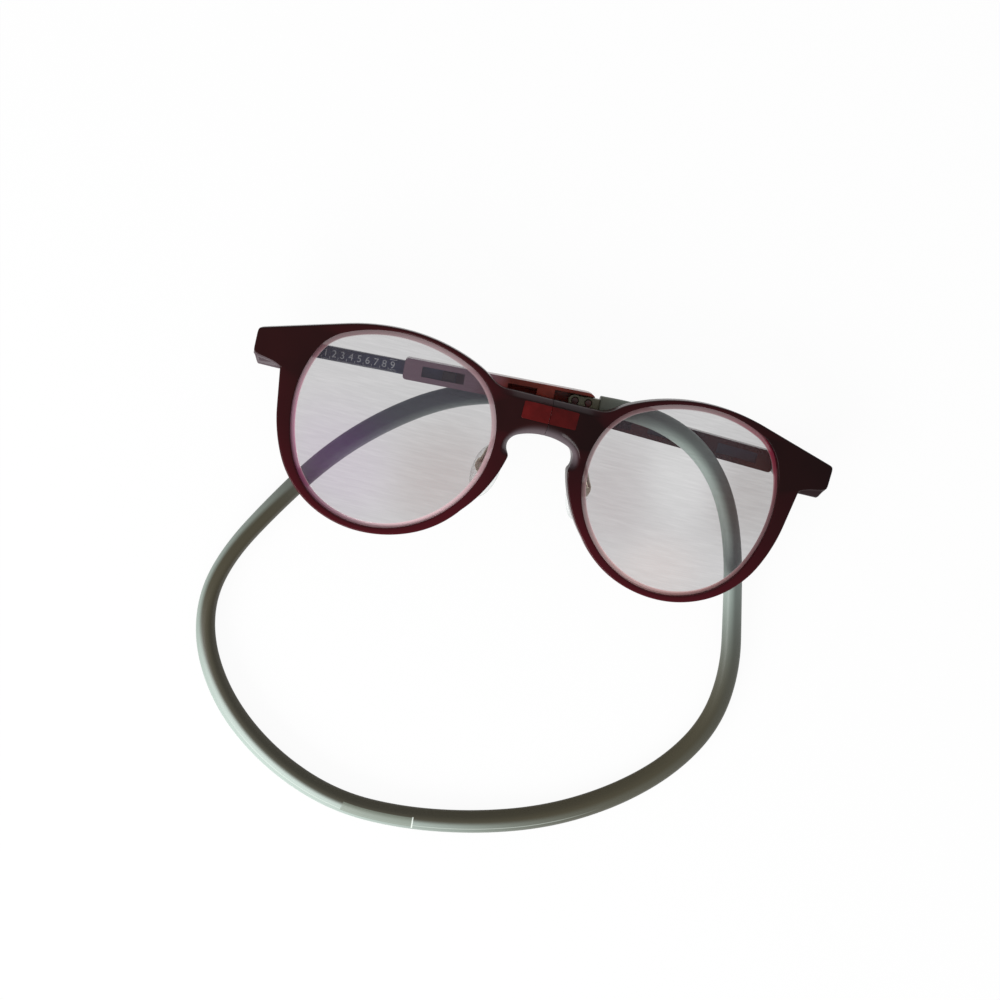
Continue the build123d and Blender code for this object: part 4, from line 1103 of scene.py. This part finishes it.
class GLASSES_OT_neckband(bpy.types.Operator):
    """Builds the neckband: a soft-cornered section carried along the listed route"""

    bl_idname = "glasses.neckband"
    bl_label = "Neckband"

    def execute(self, context):
        settings = context.scene.glasses_band
        route = np.array(BAND_ROUTE)
        curve = bpy.data.curves.new("band route", "CURVE")
        curve.dimensions = "3D"
        spline = curve.splines.new("NURBS")
        spline.points.add(len(route) - 1)
        controls = np.column_stack((route[:, :3] * MM, np.ones(len(route))))
        spline.points.foreach_set("co", controls.ravel())
        spline.order_u = 3
        spline.use_endpoint_u = True
        spline.resolution_u = 24
        holder = bpy.data.objects.new("band route", curve)
        read = bpy.data.meshes.new_from_object(holder)
        path = np.zeros(len(read.vertices) * 3)
        read.vertices.foreach_get("co", path)
        path = path.reshape(-1, 3)
        bpy.data.objects.remove(holder)
        bpy.data.meshes.remove(read)
        run = np.append(0, np.cumsum(np.linalg.norm(np.diff(path, axis=0), axis=1)))
        count = 420
        at = np.linspace(0, run[-1], count)
        line = np.stack([np.interp(at, run, path[:, k]) for k in range(3)], 1)
        for _ in range(3):
            line[1:-1] = (line[:-2] + 2 * line[1:-1] + line[2:]) / 4
        # seen width at each control point, carried over to the nearest place on the line
        nearest = [at[np.argmin(np.linalg.norm(line - p[:3] * MM, axis=1))] for p in route]
        width = np.interp(at, np.maximum.accumulate(nearest), route[:, 3]) * MM
        for _ in range(40):
            width[1:-1] = (width[:-2] + 2 * width[1:-1] + width[2:]) / 4
        way = np.gradient(line, axis=0)
        way /= np.linalg.norm(way, axis=1)[:, None]
        side = np.cross(way, (0.0, 0.0, 1.0))
        side /= np.linalg.norm(side, axis=1)[:, None]
        up = np.cross(side, way)
        around = np.linspace(0, 1, 48, endpoint=False)
        turn = np.radians(np.interp(at / run[-1], (0, 0.12, 0.3, 0.5, 0.62, 0.8, 1.0),
                                    (12, 38, 40, 34, 28, 30, 10)))
        # superellipse of power 2.8, turned, then scaled to the seen width and the band's height
        a = 2 * math.pi * around
        power = 2 / 2.8
        u0 = np.sign(np.cos(a)) * np.abs(np.cos(a)) ** power * 1.15
        v0 = np.sign(np.sin(a)) * np.abs(np.sin(a)) ** power * 0.9
        u = u0 * np.cos(turn)[:, None] - v0 * np.sin(turn)[:, None]
        v = u0 * np.sin(turn)[:, None] + v0 * np.cos(turn)[:, None]
        u *= (width / 2 / np.abs(u).max(axis=1))[:, None]
        v *= (settings.height / 2 / np.abs(v).max(axis=1))[:, None]
        line[:, 2] = np.maximum(line[:, 2], settings.height / 2 + 0.00005)
        points = line[:, None] + side[:, None] * u[..., None] + up[:, None] * v[..., None]
        place = np.interp(at, np.maximum.accumulate(nearest), np.arange(len(route)))
        inner, outer, meet, cool = soft_blend(BAND_PLAIN, [
            ((place - middle) / reach, look)
            for middle, reach, *look in BAND_STRETCHES]).T[..., None]
        across = u / (width / 2)[:, None]
        inward = ease((across - meet) / 0.5 + 0.5)
        # painted light: each side of the band is painted paler as lit, and the cool share is
        # painted as a reflection
        pale = (inner * inward + outer * (1 - inward))[..., None]
        cool = cool[..., None]
        base = np.array(settings.dark) * (1 - cool) + np.array(settings.cool) * cool
        tone = base * (1 - pale) + np.array(settings.light) * pale
        panel_ends, line_ends = np.interp(
            ((13.87, 14.9), (11.6, 16.8)), np.arange(len(route)), nearest)
        material = band_material("neckband silicone", settings, panel_ends, line_ends)
        mesh = grid_mesh("neckband_silicone", points, caps=(True, True), uv=(at, around),
                         values={"across": across, "tone": tone})
        band = add_piece("neckband_silicone", mesh, "band", material, ("neckband",))
        return {"FINISHED"}


class GLASSES_OT_stage(bpy.types.Operator):
    """Sets the pale floor, the soft light and the camera"""

    bl_idname = "glasses.stage"
    bl_label = "Stage"

    def execute(self, context):
        settings = context.scene.glasses_stage
        scene = context.scene
        scene.view_settings.view_transform = "Standard"
        floor = bpy.data.meshes.new("floor")
        reach = 3.0
        floor.from_pydata([(-reach, -reach, -0.00002), (reach, -reach, -0.00002),
                           (reach, reach, -0.00002), (-reach, reach, -0.00002)], [], [(0, 1, 2, 3)])
        table = bpy.data.objects.new("floor", floor)
        scene.collection.objects.link(table)
        paint = bpy.data.materials.new("floor paint")
        paint.use_nodes = True
        tree = paint.node_tree
        shader = tree.nodes["Principled BSDF"]
        shader.inputs["Base Color"].default_value = shade(settings.floor)
        shader.inputs["Roughness"].default_value = 0.9
        shader.inputs["Specular IOR Level"].default_value = 0.1
        out = tree.nodes["Material Output"]
        glow = node(tree, "ShaderNodeEmission", {"Color": (1, 1, 1, 1), "Strength": 1.0})
        ray = node(tree, "ShaderNodeLightPath")
        seen = node(tree, "ShaderNodeMath", {
            0: ray.outputs["Is Camera Ray"], 1: ray.outputs["Is Glossy Ray"]}, operation="MAXIMUM")
        seen = node(tree, "ShaderNodeMath", {
            0: seen.outputs[0], 1: ray.outputs["Is Transmission Ray"]}, operation="MAXIMUM")
        share = node(tree, "ShaderNodeMath", {0: seen.outputs[0], 1: 0.94}, operation="MULTIPLY")
        mix = node(tree, "ShaderNodeMixShader", {0: share.outputs[0]})
        tree.links.new(shader.outputs[0], mix.inputs[1])
        tree.links.new(glow.outputs[0], mix.inputs[2])
        tree.links.new(mix.outputs[0], out.inputs["Surface"])
        floor.materials.append(paint)

        world = bpy.data.worlds.new("studio")
        scene.world = world
        world.use_nodes = True
        sky = world.node_tree.nodes["Background"]
        sky.inputs["Color"].default_value = (1, 1, 1, 1)
        sky.inputs["Strength"].default_value = settings.sky

        def area(name, place, target, size, power):
            """Soft rectangular light aimed at a point."""
            light = bpy.data.lights.new(name, "AREA")
            light.shape = "RECTANGLE"
            light.size, light.size_y = size
            light.energy = power
            lamp = bpy.data.objects.new(name, light)
            scene.collection.objects.link(lamp)
            lamp.location = place
            aim = Vector(target) - Vector(place)
            lamp.rotation_euler = aim.to_track_quat("-Z", "Y").to_euler()

        area("window", (-0.33, -0.55, 0.28), (0.0, -0.03, 0.0), (0.7, 0.28), settings.window_light)

        view = bpy.data.cameras.new("camera")
        view.lens = settings.lens
        view.sensor_width = 36.0
        view.clip_start, view.clip_end = 0.01, 10.0
        eye = bpy.data.objects.new("camera", view)
        scene.collection.objects.link(eye)
        eye.matrix_world = Matrix((
            (0.96946, -0.23433, -0.07246, -0.030243),
            (0.24331, 0.95606, 0.16351, 0.045278),
            (0.03096, -0.17614, 0.98388, 0.341979),
            (0.0, 0.0, 0.0, 1.0)))
        scene.camera = eye
        return {"FINISHED"}


OPERATORS = (
    GLASSES_OT_fronts, GLASSES_OT_lenses, GLASSES_OT_temples, GLASSES_OT_scale,
    GLASSES_OT_hinges, GLASSES_OT_pads, GLASSES_OT_neckband, GLASSES_OT_stage,
)
SETTINGS = (
    ("glasses_front", FrontSettings), ("glasses_lens", LensSettings),
    ("glasses_temple", TempleSettings), ("glasses_pad", PadSettings),
    ("glasses_band", BandSettings), ("glasses_stage", StageSettings),
)


class GLASSES_PT_panel(bpy.types.Panel):
    """Lists the steps that dress the glasses"""

    bl_idname = "GLASSES_PT_panel"
    bl_label = "Reading glasses"
    bl_space_type = "VIEW_3D"
    bl_region_type = "UI"
    bl_category = "Glasses"

    def draw(self, context):
        """Lists each group's settings, then the steps."""
        for label, group in SETTINGS:
            box = self.layout.box()
            box.label(text=group.__doc__)
            for prop in group.__annotations__:
                box.prop(getattr(context.scene, label), prop)
        for operator in OPERATORS:
            self.layout.operator(operator.bl_idname)


CLASSES = (*(group for _, group in SETTINGS), *OPERATORS, GLASSES_PT_panel)


def register():
    """Registers the classes and hangs the settings on the scene."""
    for made in CLASSES:
        bpy.utils.register_class(made)
    for label, group in SETTINGS:
        setattr(bpy.types.Scene, label, PointerProperty(type=group))


def unregister():
    """Takes the settings and the classes away again."""
    for label, _ in SETTINGS:
        delattr(bpy.types.Scene, label)
    for made in reversed(CLASSES):
        bpy.utils.unregister_class(made)


def main():
    register()
    for operator in OPERATORS:
        group, name = operator.bl_idname.split(".")
        getattr(getattr(bpy.ops, group), name)()


if __name__ == "__main__":
    main()
